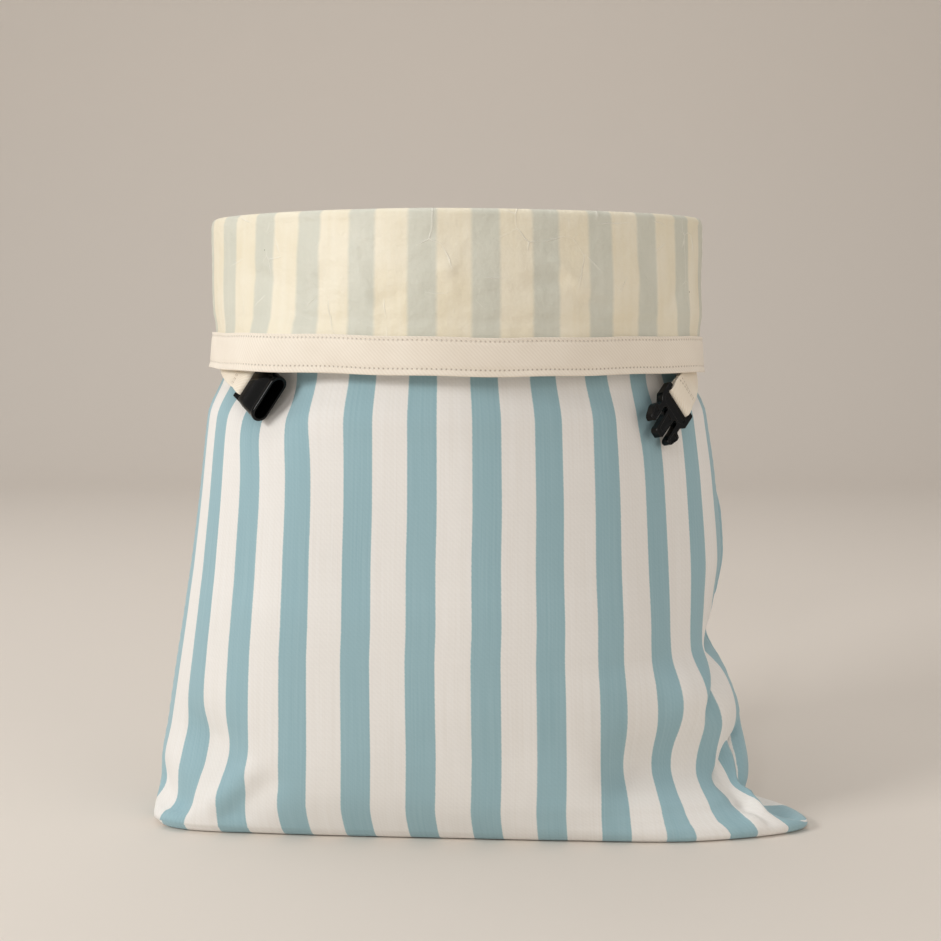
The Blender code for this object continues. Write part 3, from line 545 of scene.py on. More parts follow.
def sheet_object(name, points, places, closed=False):
    """Cloth over rows and columns of points, with its cloth map; a closed one joins last to first."""
    rows, columns = points.shape[:2]
    mesh = bpy.data.meshes.new(name)
    corners = []
    corner_places = []
    for i in range(rows - 1):
        for j in range(columns if closed else columns - 1):
            after = (j + 1) % columns
            corners.append((i * columns + j, i * columns + after, (i + 1) * columns + after,
                            (i + 1) * columns + j))
            corner_places += [places[i][j], places[i][j + 1], places[i + 1][j + 1], places[i + 1][j]]
    mesh.from_pydata(((points - ORIGIN) * MM).reshape(-1, 3).tolist(), [], corners)
    mesh.uv_layers.new(name="cloth").data.foreach_set("uv", np.array(corner_places).ravel() * MM)
    mesh.shade_smooth()
    return add_object(name, mesh)


def cloth_panel(side, outer, inner):
    """One panel of the drawn cloth, with its thickness."""
    first = 0 if side == "front" else PANEL_COLUMNS
    chosen = np.arange(first, first + PANEL_COLUMNS + 1)
    across = (column_places()[chosen] - first / PANEL_COLUMNS) * PANEL_WIDTH
    places = [[(place, up) for place in across] for up in along]
    panel = sheet_object(side + "_cloth", cloth[:, chosen % (2 * PANEL_COLUMNS)], places)
    panel.data.materials.append(outer)
    panel.data.materials.append(inner)
    adjusted(panel.modifiers.new("thickness", "SOLIDIFY"), thickness=CLOTH * MM, offset=-1.0,
             material_offset=1, material_offset_rim=1)
    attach(panel, "root")
    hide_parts(side + "_panel")


stripes = striped_cloth()
coating = coated_cloth()
cloth_panel("front", stripes, coating)

# Back panel
#
# The second length of the same cloth, cut and coated like the first. Its own half of the base, wall and
# cuff meets the front panel's at the side seams and at the seam under the base.

cloth_panel("back", stripes, coating)

# Band
#
# A cotton twill tape, folded in along both edges and laid round the bag over the cuff's free edge. Two
# rows of cream thread, one near each edge, hold it down.

BAND_LOW = 263.0         # height of its lower edge, before the edge's rise
BAND_DEPTH = 21.5
BAND_THICK = 1.3
BAND_ROWS = 22           # divisions of the drawn tape, up and round
BAND_COLUMNS = 448
SEAM_GAP = 0.8           # kept clear between the cuff's cloth and the tape
STITCH_ROWS = (3.6, 19.3)            # heights of the two rows above the tape's lower edge
STITCH_PITCH = 2.7
STITCH_SHARE = 0.74      # how much of the pitch a stitch takes up
THREAD = 0.24            # half the thread's thickness
THREAD_PROUD = 0.06      # from the tape's face out to the thread's middle
TAPE_FULL = 0.2          # how far the tape stands out, and is drawn in at its stitches
TAPE_DRAWN = 0.42
TAPE_LIP = 0.45          # how far its lower edge stands free
TAPE_PUCKERS = ((0.09, 11.0, 0.0), (0.054, 6.7, 1.3))    # height, spacing and start of the waves it has
TAPE_PUCKER_REACH = 3.0  # from the lower row of stitches
TAPE_SWAY = (0.2, 61.0)  # how far it wanders up and down, and over what length
TAPE_EDGE = 0.35         # how far its edges are rounded
# The dark dots at the needle holes are painted shade, standing for the shadow in each hole.
HOLE_SHADE_REACH = (0.3, 0.8)             # how far from its middle a hole is full dark, and where it ends


def tape_relief(up, around):
    """How far the tape stands out: drawn in along its stitches, full between them, its lower lip free."""
    drawn = sum(np.exp(-(up - row)**2) for row in STITCH_ROWS)
    lip = TAPE_LIP * np.clip(1 - up / STITCH_ROWS[0], 0, 1)
    pucker = sum(height * np.sin(math.tau * around / spacing + start)
                 for height, spacing, start in TAPE_PUCKERS)
    near_row = np.exp(-((up - STITCH_ROWS[0]) / TAPE_PUCKER_REACH)**2)
    return TAPE_FULL - TAPE_DRAWN * drawn + lip + pucker * near_row


def band_row(up):
    """One closed row of the tape at a height above its lower edge, and the directions out of it."""
    shares = np.linspace(0, 2, BAND_COLUMNS + 1)[:-1]
    around = shares * PANEL_WIDTH
    z = BAND_LOW + up
    plan = outline(z, shares)
    outward = plan_outward(plan)
    out = CLOTH / 2 + SEAM_GAP + BAND_THICK / 2 + bulge_out(around, z) + tape_relief(up, around)
    sway = TAPE_SWAY[0] * np.sin(math.tau * around / TAPE_SWAY[1])
    return np.column_stack([plan + outward * out[:, None], z + (edge_rise(around) + sway)]), outward


band_ups = np.linspace(0, BAND_DEPTH, BAND_ROWS)
band_points = np.array([band_row(up)[0] for up in band_ups])
band_steps = np.linalg.norm(np.roll(band_points, -1, axis=1) - band_points, axis=2).mean(axis=0)
band_length = band_steps.sum()
band_run = np.concatenate([[0], np.cumsum(band_steps)])
band_pitch = band_length / round(band_length / STITCH_PITCH)


def stitch_hole_shade(tree, uv, colour, lines, pitch):
    """A cloth's colour with painted shade: dark dots for the shadow in the needle's holes along lines on its
    cloth map.
    """
    for start, end in lines:
        run = math.hypot(end[0] - start[0], end[1] - start[1])
        way = ((end[0] - start[0]) / run, (end[1] - start[1]) / run, 0.0)
        count = round(run / pitch)
        place = add_node(tree, "ShaderNodeVectorMath", {0: uv, 1: (start[0] * MM, start[1] * MM, 0.0)},
                         operation="SUBTRACT")
        along = add_node(tree, "ShaderNodeVectorMath", {0: place, 1: way}, operation="DOT_PRODUCT")
        across = add_node(tree, "ShaderNodeVectorMath", {0: place, 1: (-way[1], way[0], 0.0)},
                          operation="DOT_PRODUCT")
        aside = add_node(tree, "ShaderNodeMath", {0: along, 1: count / (run * MM)}, operation="MULTIPLY")
        aside = add_node(tree, "ShaderNodeMath", {0: aside}, operation="FRACT")
        aside = add_node(tree, "ShaderNodeMath", {0: aside, 1: 0.5}, operation="SUBTRACT")
        aside = add_node(tree, "ShaderNodeMath", {0: aside, 1: run / count * MM}, operation="MULTIPLY")
        away = add_node(tree, "ShaderNodeCombineXYZ", {0: aside, 1: across})
        away = add_node(tree, "ShaderNodeVectorMath", {0: away}, operation="LENGTH")
        hole_shade_dot = add_node(tree, "ShaderNodeMapRange",
                        {"Value": away, "From Min": HOLE_SHADE_REACH[0] * MM, "From Max": HOLE_SHADE_REACH[1] * MM,
                         "To Min": 0.7, "To Max": 0.0})
        within = add_node(tree, "ShaderNodeMath", {0: along, 1: run / 2 * MM}, operation="SUBTRACT")
        within = add_node(tree, "ShaderNodeMath", {0: within}, operation="ABSOLUTE")
        within = add_node(tree, "ShaderNodeMath", {0: within, 1: run / 2 * MM}, operation="LESS_THAN")
        hole_shade_dot = add_node(tree, "ShaderNodeMath", {0: hole_shade_dot, 1: within}, operation="MULTIPLY")
        # Each dot is painted shadow: the brown of the shade in a hole and between stitches.
        colour = add_node(tree, "ShaderNodeMix", {0: hole_shade_dot, 6: colour, 7: linear("#94806B")},
                          data_type="RGBA")
    return colour


def twill_tape(name, light, dark, lines, pitch):
    """Cotton twill tape, woven and washed: a soft close diagonal, a little fluff, and no shine."""
    finish, tree, shader = new_finish(name)
    uv = add_node(tree, "ShaderNodeUVMap", uv_map="cloth")
    # The real ribs are 0.5 mm apart, too fine to show, and are drawn 1.6 mm apart.
    rib = add_node(tree, "ShaderNodeTexWave", {"Vector": uv, "Scale": 1 / (1.6 * MM) / DIAGONAL_LINES,
                                               "Distortion": 0.5, "Detail": 1.0},
                   bands_direction="DIAGONAL").outputs["Fac"]
    fluff = add_node(tree, "ShaderNodeTexNoise", {"Vector": uv, "Scale": 1500.0, "Detail": 2.0})
    wear = add_node(tree, "ShaderNodeTexNoise", {"Vector": uv, "Scale": 45.0, "Detail": 3.0})
    tone = add_node(tree, "ShaderNodeMath", {0: rib, 1: 0.5, 2: wear}, operation="MULTIPLY_ADD")
    tone = add_node(tree, "ShaderNodeMapRange", {"Value": tone, "From Min": 0.35, "From Max": 1.15})
    colour = add_node(tree, "ShaderNodeMix", {0: tone, 6: linear(dark), 7: linear(light)},
                      data_type="RGBA")
    # Painted shade: dark dots at the stitches' needle holes.
    colour = stitch_hole_shade(tree, uv, colour, lines, pitch)
    relief = add_node(tree, "ShaderNodeMath", {0: rib, 1: fluff})
    bump = add_node(tree, "ShaderNodeBump", {"Height": relief, "Strength": 0.18, "Distance": 0.1 * MM})
    feed(tree, shader, {"Base Color": colour, "Normal": bump, "Roughness": 0.85, "Sheen Weight": 0.12,
                        "Sheen Roughness": 0.5})
    return finish


def thicken(piece, thickness, edge):
    """Give a sheet its thickness and soft edges."""
    adjusted(piece.modifiers.new("thickness", "SOLIDIFY"), thickness=thickness * MM, offset=0.0)
    adjusted(piece.modifiers.new("soft_edge", "BEVEL"), width=edge * MM, segments=2,
             limit_method="ANGLE", angle_limit=math.radians(60))


band_places = [[(run, up) for run in band_run] for up in band_ups]
band = sheet_object("mouth_band_tape", band_points, band_places, closed=True)
band_seams = [((0.0, row), (band_length, row)) for row in STITCH_ROWS]
band.data.materials.append(twill_tape("cream_cotton_twill_tape", "#F6EDDF", "#EBE0D0", band_seams,
                                      band_pitch))
thicken(band, BAND_THICK, TAPE_EDGE)
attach(band, "root")
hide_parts("mouth_band")


def cotton_thread():
    """Cream cotton sewing thread, spun and twisted: tiny slanting ridges and a soft, slight gloss."""
    finish, tree, shader = new_finish("cream_cotton_thread")
    place = add_node(tree, "ShaderNodeTexCoord").outputs["Object"]
    # The real twist's ridges are 0.4 mm apart, too fine to show. This scale draws them 0.9 mm apart.
    twist = add_node(tree, "ShaderNodeTexWave", {"Vector": place, "Scale": 1 / (2.56 * MM)},
                     bands_direction="DIAGONAL").outputs["Fac"]
    colour = add_node(tree, "ShaderNodeMix", {0: twist, 6: linear("#E2D8CA"), 7: linear("#F4EEE4")},
                      data_type="RGBA")
    bump = add_node(tree, "ShaderNodeBump", {"Height": twist, "Strength": 0.3, "Distance": 0.06 * MM})
    feed(tree, shader, {"Base Color": colour, "Normal": bump, "Roughness": 0.6})
    return finish


def stitching_tree():
    """Geometry Nodes that lay one stitch after another along each line of points."""
    tree = bpy.data.node_groups.new("stitching", "GeometryNodeTree")
    ports = tree.interface
    ports.new_socket("Lines", in_out="INPUT", socket_type="NodeSocketGeometry")
    for name in ("Pitch", "Stitch length", "Thread radius"):
        ports.new_socket(name, in_out="INPUT", socket_type="NodeSocketFloat")
    ports.new_socket("Thread", in_out="INPUT", socket_type="NodeSocketMaterial")
    ports.new_socket("Stitches", in_out="OUTPUT", socket_type="NodeSocketGeometry")
    given = add_node(tree, "NodeGroupInput").outputs
    curve = add_node(tree, "GeometryNodeMeshToCurve", {"Mesh": given["Lines"]})
    even = add_node(tree, "GeometryNodeResampleCurve", {"Curve": curve, "Length": given["Pitch"]},
                    mode="LENGTH")
    tangent = add_node(tree, "GeometryNodeInputTangent")
    turn = add_node(tree, "FunctionNodeAlignRotationToVector", {"Vector": tangent}, axis="X")
    bead = add_node(tree, "GeometryNodeMeshUVSphere", {"Segments": 8, "Rings": 4, "Radius": 1.0})
    half = add_node(tree, "ShaderNodeMath", {0: given["Stitch length"], 1: 0.5}, operation="MULTIPLY")
    size = add_node(tree, "ShaderNodeCombineXYZ", {0: half, 1: given["Thread radius"],
                                                   2: given["Thread radius"]})
    laid = add_node(tree, "GeometryNodeInstanceOnPoints", {"Points": even, "Instance": bead,
                                                           "Rotation": turn, "Scale": size})
    real = add_node(tree, "GeometryNodeRealizeInstances", {0: laid})
    smooth = add_node(tree, "GeometryNodeSetShadeSmooth", {0: real})
    coloured = add_node(tree, "GeometryNodeSetMaterial", {"Geometry": smooth, "Material": given["Thread"]})
    add_node(tree, "NodeGroupOutput", {0: coloured})
    return tree


stitching = stitching_tree()
thread = cotton_thread()


def plain_mesh(worked):
    """The mesh that an object's modifiers make of it."""
    bpy.context.view_layer.update()
    return bpy.data.meshes.new_from_object(worked.evaluated_get(bpy.context.evaluated_depsgraph_get()))


def sew(name, lines, pitch):
    """Rows of stitches along lines of places in millimetres, as one plain mesh."""
    points, edges = [], []
    for line, closed in lines:
        start = len(points)
        points += ((line - ORIGIN) * MM).tolist()
        edges += [(start + k, start + k + 1) for k in range(len(line) - 1)]
        edges += [(start + len(line) - 1, start)] if closed else []
    mesh = bpy.data.meshes.new(name + "_lines")
    mesh.from_pydata(points, edges, [])
    holder = add_object(name + "_lines", mesh)
    laid = adjusted(holder.modifiers.new("stitching", "NODES"), node_group=stitching)
    sizes = {"Pitch": pitch * MM, "Stitch length": pitch * STITCH_SHARE * MM, "Thread radius": THREAD * MM,
             "Thread": thread}
    for socket in stitching.interface.items_tree:
        if socket.in_out == "INPUT" and socket.name in sizes:
            laid[socket.identifier] = sizes[socket.name]
    made = adjusted(plain_mesh(holder), name=name)
    bpy.data.objects.remove(holder)
    piece = add_object(name, made)
    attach(piece, "root")


band_lines = []
for row in STITCH_ROWS:
    line, outward = band_row(row)
    line[:, :2] += outward * (BAND_THICK / 2 + THREAD_PROUD)
    band_lines.append((line, True))
sew("band_stitches", band_lines, band_pitch)

# Left strap
#
# A short length of the same cotton webbing, laid double. Its two ends are sewn in under the band, and the
# loop that is left goes round the bar of the buckle's socket.

STRAP_WIDTH = 20.0
STRAP_PLY = 1.2
STRAP_SPLIT = 0.4        # between the two layers where they are sewn together
STRAP_SPREAD = 9.0       # over this length the layers part to pass round the bar
STRAP_HOLLOW = (0.12, 9.0)           # how hollow its flats are, and how far along that changes
STRAP_EDGE = 0.4         # how far the webbing's edges are rounded
STRAP_PITCH = 2.6
STRAP_STEPS = 34         # divisions of the drawn webbing along a layer and across, and of a row of stitches
WEBBING_COLUMNS = 16
SEAM_STEPS = 24
OUTLINE_POINTS = 840     # of the outline that a strap's places are found on
BAR_WRAP = 75.0          # degrees that the webbing turns round the bar to each side of straight ahead
BAR_RADIUS = 1.6
BAR_PLAY = 0.5           # between the bar and the webbing
# Places from the sewn end to the bar, and a last one that the buckle half points at.
STRAP_COLUMNS = ("around", "height", "stand_off", "lean")
LEFT_STRAP = (
    (18.0, 273.5, -3.5, 4.0),
    (26.0, 271.0, -3.4, 7.0),
    (33.0, 269.5, -2.9, 9.0),
    (52.0, 265.5, -1.6, 17.0),
    (75.5, 260.0, 1.4, 24.0),
    (100.0, 248.5, 3.4, 24.0),
)
LEFT_SEAMS = (((11.0, -8.5), (11.0, 8.5)), ((13.8, -8.5), (13.8, 8.5)))    # from the bar, and across


def surface_frame(row):
    """A point off the bag's outline, and the direction out of webbing lying there at a lean."""
    strap = dict(zip(STRAP_COLUMNS, row))
    shares = np.linspace(0, 1, OUTLINE_POINTS)
    plan = outline(strap["height"], shares)
    steps = unit(np.gradient(plan, axis=0))
    i = int(np.argmin(np.abs(shares * PANEL_WIDTH - strap["around"])))
    outward = np.array([steps[i, 1], -steps[i, 0], 0.0])
    tip = math.radians(strap["lean"])
    place = np.array([*plan[i], strap["height"]]) + outward * strap["stand_off"]
    return place, outward * math.cos(tip) + np.array([0.0, 0.0, math.sin(tip)])


def strap_centre(rows):
    """Centre points of a strap from its sewn end to its bar, with the directions along and out of it."""
    *frames, aim = [surface_frame(row) for row in rows]
    bar, bar_normal = frames[-1]
    ahead = unit(aim[0] - bar)
    frames.insert(-1, (bar - ahead * STRAP_SPREAD, bar_normal))
    points, normals = (np.array(field) for field in zip(*frames))
    run = run_along(points)
    wanted = np.linspace(0, run[-1], STRAP_STEPS)
    points = smooth_between(run, points, wanted)
    normals = smooth_between(run, normals, wanted)
    directions = np.gradient(points, axis=0)
    directions[-1] = ahead
    directions = unit(directions)
    normals -= directions * np.sum(normals * directions, axis=1, keepdims=True)
    return points, directions, unit(normals)


def strap_path(rows):
    """The webbing's middle line out to the bar, round it and back, with the directions out and across."""
    points, directions, normals = strap_centre(rows)
    sides = np.cross(directions, normals)
    share = np.clip(1 - np.linalg.norm(points - points[-1], axis=1) / STRAP_SPREAD, 0, 1)
    sewn = (STRAP_SPLIT + STRAP_PLY) / 2
    round_bar = BAR_RADIUS + BAR_PLAY + STRAP_PLY / 2
    spread = (sewn + (round_bar - sewn) * eased(share))[:, None]
    angles = np.radians(np.linspace(BAR_WRAP, -BAR_WRAP, 11))[:, None]
    away = directions[-1:] * np.cos(angles) + normals[-1:] * np.sin(angles)
    path = np.concatenate([points + normals * spread, points[-1:] + away * round_bar,
                           (points - normals * spread)[::-1]])
    faced = np.concatenate([normals, away, -normals[::-1]])
    turned = np.concatenate([sides, np.repeat(sides[-1:], len(away), axis=0), sides[::-1]])
    return path, faced, turned


def stitch_line(rows, start, end):
    """A row of stitches on a strap's outer layer, between two places given from the bar and across."""
    fields = [field[:STRAP_STEPS] for field in strap_path(rows)]
    back = np.linalg.norm(fields[0] - fields[0][-1], axis=1)
    line = []
    for share in np.linspace(0, 1, SEAM_STEPS):
        from_bar = start[0] + (end[0] - start[0]) * share
        across = start[1] + (end[1] - start[1]) * share
        place, out, side = (np.array([np.interp(-from_bar, -back, field[:, i]) for i in range(3)])
                            for field in fields)
        line.append(place + side * across + out * (STRAP_PLY / 2 + THREAD_PROUD))
    return np.array(line), False


def add_strap(side, rows, seams):
    """One doubled strap, its edges a little full and its flats a little hollow, and its rows of stitches."""
    path, faced, turned = strap_path(rows)
    across = np.linspace(-STRAP_WIDTH / 2, STRAP_WIDTH / 2, WEBBING_COLUMNS + 1)
    run = run_along(path)
    hollow, change = STRAP_HOLLOW
    soft = hollow * np.cos(across / STRAP_WIDTH * math.tau)[None, :] * np.sin(run / change)[:, None]
    points = path[:, None] + turned[:, None] * across[None, :, None] + faced[:, None] * soft[..., None]
    places = [[(place, aside) for aside in across] for place in run]
    strap = sheet_object(side + "_strap_webbing", points, places)
    bar = run[STRAP_STEPS - 1]
    # Lines of painted shade dots at the needle holes of the strap's stitches.
    hole_shade_lines = [((bar - start[0], start[1]), (bar - end[0], end[1])) for start, end in seams]
    strap.data.materials.append(twill_tape("cream_cotton_webbing_" + side, "#FBF3E4", "#EFE2CE", hole_shade_lines,
                                           STRAP_PITCH))
    thicken(strap, STRAP_PLY, STRAP_EDGE)
    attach(strap, "root")
    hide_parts(side + "_strap")
    sew(side + "_strap_stitches", [stitch_line(rows, *seam) for seam in seams], STRAP_PITCH)


add_strap("left", LEFT_STRAP, LEFT_SEAMS)

# Right strap
#
# The same webbing on the other side of the bag, a little twisted, round the bar of the buckle's plug. Two
# slanting rows of thread close its loop.

RIGHT_STRAP = (
    (411.0, 269.5, -3.3, 4.0),
    (404.0, 266.5, -2.7, 8.0),
    (392.0, 261.5, -1.4, 12.0),
    (378.5, 255.5, 0.8, 16.0),
    (357.0, 246.5, 4.4, 14.0),
    (333.0, 229.0, 6.8, 12.0),
)
RIGHT_SEAMS = (((9.5, 8.5), (16.5, -8.5)), ((12.6, 8.5), (19.6, -8.5)))

add_strap("right", RIGHT_STRAP, RIGHT_SEAMS)

# Buckle socket
#
# The female half of a side-release buckle, moulded in black acetal: a wedge with a deep oblong mouth, a
# window in each side for the plug's barbs, and two cheeks that hold the strap's bar.

CHEEK_START = -2.2       # along from the bar's middle
CHEEK_END = 5.9
CHEEK_IN = 10.5          # across from it
CHEEK_OUT = 13.2
CHEEK_HALF = 2.3         # half its thickness
BAR_HALF = 12.0          # half the bar's length
BODY_SIDES = 72          # divisions round the body and along it, and round the bar
BODY_RINGS = 32
BAR_SIDES = 32
# Sections of the body and of its hollow: place along, half width and half thickness.
SOCKET_BODY = ((3.9, 13.5, 2.75), (8.0, 14.0, 3.8), (15.0, 14.5, 4.9), (22.8, 14.5, 5.15),
               (24.0, 14.8, 5.5), (25.5, 14.7, 5.4))
SOCKET_CAVITY = ((7.5, 11.6, 2.2), (12.0, 12.8, 3.5), (26.5, 13.0, 4.0))
WINDOW = ((10.5, -20.0), (18.5, -20.0), (18.5, 20.0), (10.5, 20.0))      # cut right through both sides
WINDOW_HALF = 2.4
MOULD_GRAIN = 0.26       # size of the fine cells that round off every moulded edge
MOULD_EASE = 11          # how often those cells are smoothed


def solid_from(name, points, faces):
    """A solid in the buckle's own millimetres, its faces turned outwards."""
    mesh = bpy.data.meshes.new(name)
    mesh.from_pydata(np.array(points, float).tolist(), [], faces)
    shell = bmesh.new()
    shell.from_mesh(mesh)
    bmesh.ops.recalc_face_normals(shell, faces=shell.faces)
    shell.to_mesh(mesh)
    shell.free()
    return add_object(name, mesh)


def tube_faces(rings, sides):
    """Faces of a closed tube of rings, with both ends filled."""
    faces = [tuple(range(sides - 1, -1, -1)), tuple((rings - 1) * sides + k for k in range(sides))]
    for i in range(rings - 1):
        faces += [(i * sides + k, i * sides + (k + 1) % sides, (i + 1) * sides + (k + 1) % sides,
                   (i + 1) * sides + k) for k in range(sides)]
    return faces


def oblong_loft(name, sections):
    """A solid through rounded oblong sections."""
    table = np.array(sections)
    places = np.linspace(table[0, 0], table[-1, 0], BODY_RINGS)
    points = []
    for along, wide, thick in smooth_between(table[:, 0], table, places):
        for k in range(BODY_SIDES):
            angle = math.tau * (k + 0.5) / BODY_SIDES
            across = math.copysign(wide - thick, math.cos(angle)) + thick * math.cos(angle)
            points.append((along, across, thick * math.sin(angle)))
    return solid_from(name, points, tube_faces(len(places), BODY_SIDES))


def flat_plate(name, edge, low, high):
    """A flat piece cut to an edge of along and across places."""
    points = [(along, across, height) for height in (low, high) for along, across in edge]
    return solid_from(name, points, tube_faces(2, len(edge)))


def strap_bar():
    """The bar that the strap goes round."""
    rim = [(BAR_RADIUS * math.cos(turn), BAR_RADIUS * math.sin(turn))
           for turn in (math.tau * k / BAR_SIDES for k in range(BAR_SIDES))]
    points = [(along, across, up) for across in (-BAR_HALF, BAR_HALF) for along, up in rim]
    return solid_from("bar", points, tube_faces(2, BAR_SIDES))


def cut_or_join(target, tool, operation):
    """Join one solid to another, or cut it away."""
    adjusted(target.modifiers.new("step", "BOOLEAN"), operation=operation, solver="EXACT", object=tool)
    made = plain_mesh(target)
    target.modifiers.clear()
    target.data = made
    bpy.data.objects.remove(tool)


def mould(blank, name, node, strap, finish):
    """Round a blank's edges as a mould does, then put it in its place at the end of its strap."""
    adjusted(blank.modifiers.new("cells", "REMESH"), mode="VOXEL", voxel_size=MOULD_GRAIN,
             use_smooth_shade=True)
    adjusted(blank.modifiers.new("eased", "SMOOTH"), factor=0.5, iterations=MOULD_EASE)
    mesh = adjusted(plain_mesh(blank), name=name)
    bpy.data.objects.remove(blank)
    centre, direction, normal = (field[-1] for field in strap_centre(strap))
    axes = np.stack([direction, np.cross(normal, direction), normal])
    spots = np.zeros(len(mesh.vertices) * 3)
    mesh.vertices.foreach_get("co", spots)
    spots = (centre + spots.reshape(-1, 3) @ axes - ORIGIN) * MM
    mesh.vertices.foreach_set("co", spots.ravel())
    mesh.materials.clear()
    mesh.materials.append(finish)
    piece = add_object(name, mesh)
    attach(piece, "root")
    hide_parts(node)


def black_acetal():
    """Black acetal from a polished mould: deep and glossy, with the faintest ripple and fine rubbing."""
    finish, tree, shader = new_finish("black_moulded_acetal")
    place = add_node(tree, "ShaderNodeTexCoord").outputs["Object"]
    ripple = add_node(tree, "ShaderNodeTexNoise", {"Vector": place, "Scale": 160.0, "Detail": 2.0})
    rubbed = add_node(tree, "ShaderNodeTexNoise", {"Vector": place, "Scale": 900.0, "Detail": 3.0})
    rough = add_node(tree, "ShaderNodeMapRange", {"Value": rubbed, "From Min": 0.3, "From Max": 0.7,
                                                  "To Min": 0.06, "To Max": 0.14})
    colour = add_node(tree, "ShaderNodeMix", {0: rubbed, 6: linear("#040404"), 7: linear("#0A0A0A")},
                      data_type="RGBA")
    bump = add_node(tree, "ShaderNodeBump", {"Height": ripple, "Strength": 0.05, "Distance": 0.3 * MM})
    feed(tree, shader, {"Base Color": colour, "Roughness": rough, "Normal": bump, "IOR": 1.48,
                        "Specular IOR Level": 0.24})
    return finish


acetal = black_acetal()
socket_blank = oblong_loft("socket_blank", SOCKET_BODY)
for side in (-1, 1):
    cheek = [(CHEEK_START, side * CHEEK_IN), (CHEEK_START, side * CHEEK_OUT), (CHEEK_END, side * CHEEK_OUT),
             (CHEEK_END, side * CHEEK_IN)]
    cut_or_join(socket_blank, flat_plate("cheek", cheek, -CHEEK_HALF, CHEEK_HALF), "UNION")
cut_or_join(socket_blank, strap_bar(), "UNION")
cut_or_join(socket_blank, oblong_loft("cavity", SOCKET_CAVITY), "DIFFERENCE")
cut_or_join(socket_blank, flat_plate("window", WINDOW, -WINDOW_HALF, WINDOW_HALF), "DIFFERENCE")
mould(socket_blank, "buckle_socket_moulding", "buckle_socket", LEFT_STRAP, acetal)

# Buckle plug
#
# The male half, in the same black acetal: a base with two cheeks and the strap's bar, two springy arms
# with barbs, and a short tongue between them that guides it home.

PLUG_HALF = 2.5          # half its thickness
# Half of its outline: places along from the bar's middle and across.
PLUG_EDGE = (
    (3.9, 10.5), (-2.2, 10.5), (-2.2, 13.0), (-1.2, 13.6), (9.0, 13.6), (10.5, 12.6), (13.0, 10.6),
    (17.0, 10.4), (18.0, 13.4), (20.5, 13.6), (26.5, 11.8), (28.0, 10.4), (28.2, 8.4), (26.8, 7.2),
    (14.5, 7.0), (13.0, 6.2), (12.6, 5.0), (13.4, 3.9), (29.5, 3.4), (30.8, 2.2),
)
POCKET_FLOOR = 1.5       # height of the shallow pockets' floor above the middle of the plug
ARM_POCKET = ((19.4, 8.9), (19.4, 12.1), (21.0, 12.2), (25.4, 10.9), (26.4, 9.9), (25.4, 8.7))
TONGUE_POCKET = ((15.2, -2.1), (27.0, -1.6), (27.0, 1.6), (15.2, 2.1))
BASE_POCKET = ((5.6, -10.6), (8.6, -10.6), (11.0, -7.6), (11.0, 7.6), (8.6, 10.6), (5.6, 10.6))

plug_edge = list(PLUG_EDGE) + [(along, -across) for along, across in reversed(PLUG_EDGE)]
plug_blank = flat_plate("plug_blank", plug_edge, -PLUG_HALF, PLUG_HALF)
cut_or_join(plug_blank, strap_bar(), "UNION")
other_arm_pocket = [(along, -across) for along, across in ARM_POCKET]
for pocket in (ARM_POCKET, other_arm_pocket, TONGUE_POCKET, BASE_POCKET):
    for low, high in ((POCKET_FLOOR, PLUG_HALF + 1), (-PLUG_HALF - 1, -POCKET_FLOOR)):
        cut_or_join(plug_blank, flat_plate("pocket", pocket, low, high), "DIFFERENCE")
mould(plug_blank, "buckle_plug_moulding", "buckle_plug", RIGHT_STRAP, acetal)

# Floor, camera and light
#
# A plain pale floor that sweeps up behind the bag, with soft light from the left. The camera stands a
# little above the bag's middle and looks slightly down.

FLOOR_DROP = 0.0003      # metres below the bag's own base, so that the two don't flicker
FLOOR_START, FLOOR_HALF = -2.2, 4.0      # its front edge and half its width, in metres too
SWEEP_START, SWEEP_RADIUS, SWEEP_TOP = 1.6, 0.8, 3.2

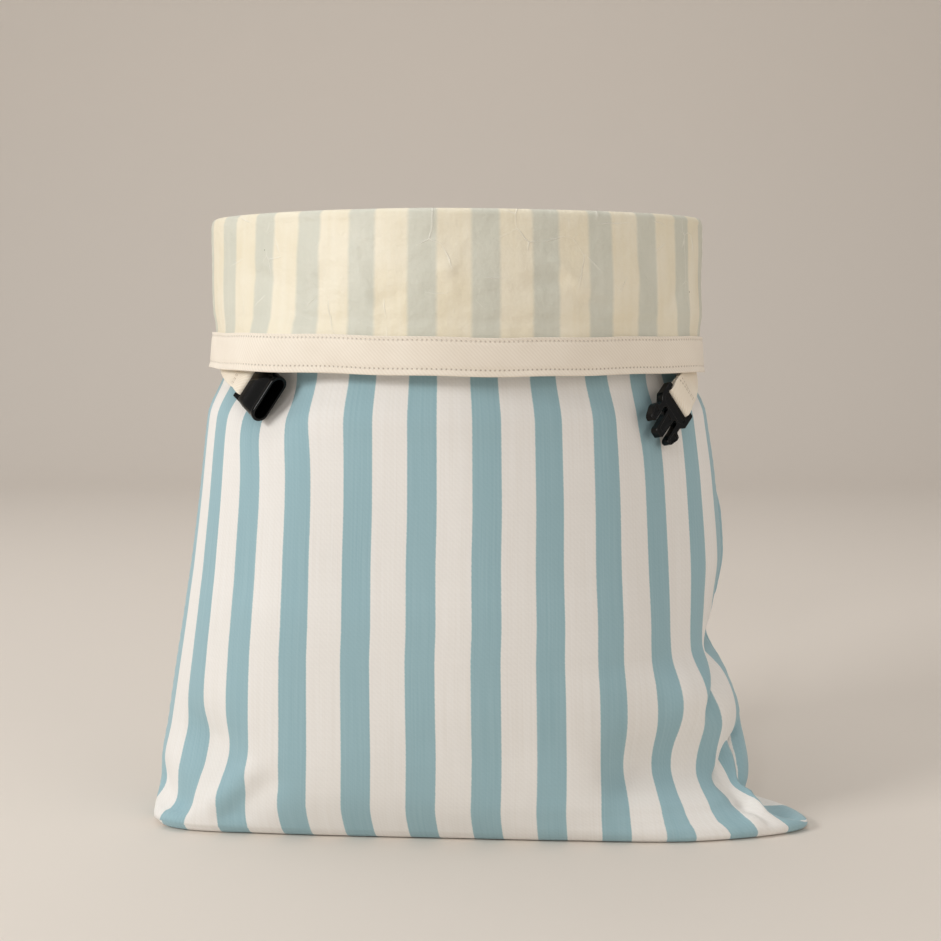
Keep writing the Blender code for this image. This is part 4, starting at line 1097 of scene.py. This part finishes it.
floor_line = [(FLOOR_START, -FLOOR_DROP), (SWEEP_START, -FLOOR_DROP)]
floor_line += [(SWEEP_START + SWEEP_RADIUS * math.sin(turn), SWEEP_RADIUS * (1 - math.cos(turn)) - FLOOR_DROP)
               for turn in np.radians(np.linspace(5, 90, 18))]
floor_line.append((SWEEP_START + SWEEP_RADIUS, SWEEP_TOP))
floor_mesh = bpy.data.meshes.new("floor")
floor_mesh.from_pydata([(x, y, z) for y, z in floor_line for x in (-FLOOR_HALF, FLOOR_HALF)], [],
                       [(2 * i, 2 * i + 1, 2 * i + 3, 2 * i + 2) for i in range(len(floor_line) - 1)])
floor_mesh.shade_smooth()
floor = add_object("floor", floor_mesh)
ground, tree, shader = new_finish("matt_painted_board")
feed(tree, shader, {"Base Color": linear("#E2DAD1"), "Roughness": 0.9})
floor_mesh.materials.append(ground)

CAMERA_PLACE = (2.0 - ORIGIN[0], -847.0 - ORIGIN[1], 305.0)    # millimetres in the bag's own frame
CAMERA_TILT = 6.25       # degrees down
SENSOR = 36.0
FOCAL_PIXELS = 1540.0    # the lens's length, measured in pixels of a picture this wide
IMAGE_PIXELS = 941.0

lens = adjusted(bpy.data.cameras.new("camera"), sensor_width=SENSOR,
                lens=FOCAL_PIXELS / IMAGE_PIXELS * SENSOR)
bpy.context.scene.camera = adjusted(add_object("camera", lens),
                                    location=[place * MM for place in CAMERA_PLACE],
                                    rotation_euler=(math.radians(90 - CAMERA_TILT), 0, 0))


def soft_light(name, place, aim, size, power, colour):
    """A large square lamp."""
    lamp = adjusted(bpy.data.lights.new(name, "AREA"), shape="SQUARE", size=size, energy=power,
                    color=linear(colour)[:3])
    turn = (Vector(aim) - Vector(place)).to_track_quat("-Z", "Y").to_euler()
    adjusted(add_object(name, lamp), location=place, rotation_euler=turn)


soft_light("window", (-2.1, -1.1, 1.25), (0, 0, 0.15), 0.8, 32.0, "#FFFEFC")
soft_light("room", (1.9, -1.5, 0.9), (0, 0, 0.15), 2.0, 15.0, "#FFF6EC")
soft_light("ceiling", (-0.2, 0.5, 2.0), (0, 0, 0.1), 1.8, 15.0, "#FFFDFA")
soft_light("small_lamp", (-0.45, -1.5, 1.25), (0, -0.05, 0.22), 0.16, 2.0, "#FFFFFF")
world = adjusted(bpy.data.worlds.new("room_light"), use_nodes=True)
feed(world.node_tree, world.node_tree.nodes["Background"], {"Color": linear("#F4F1EE"), "Strength": 0.34})
bpy.context.scene.world = world
bpy.context.scene.view_settings.view_transform = "Standard"
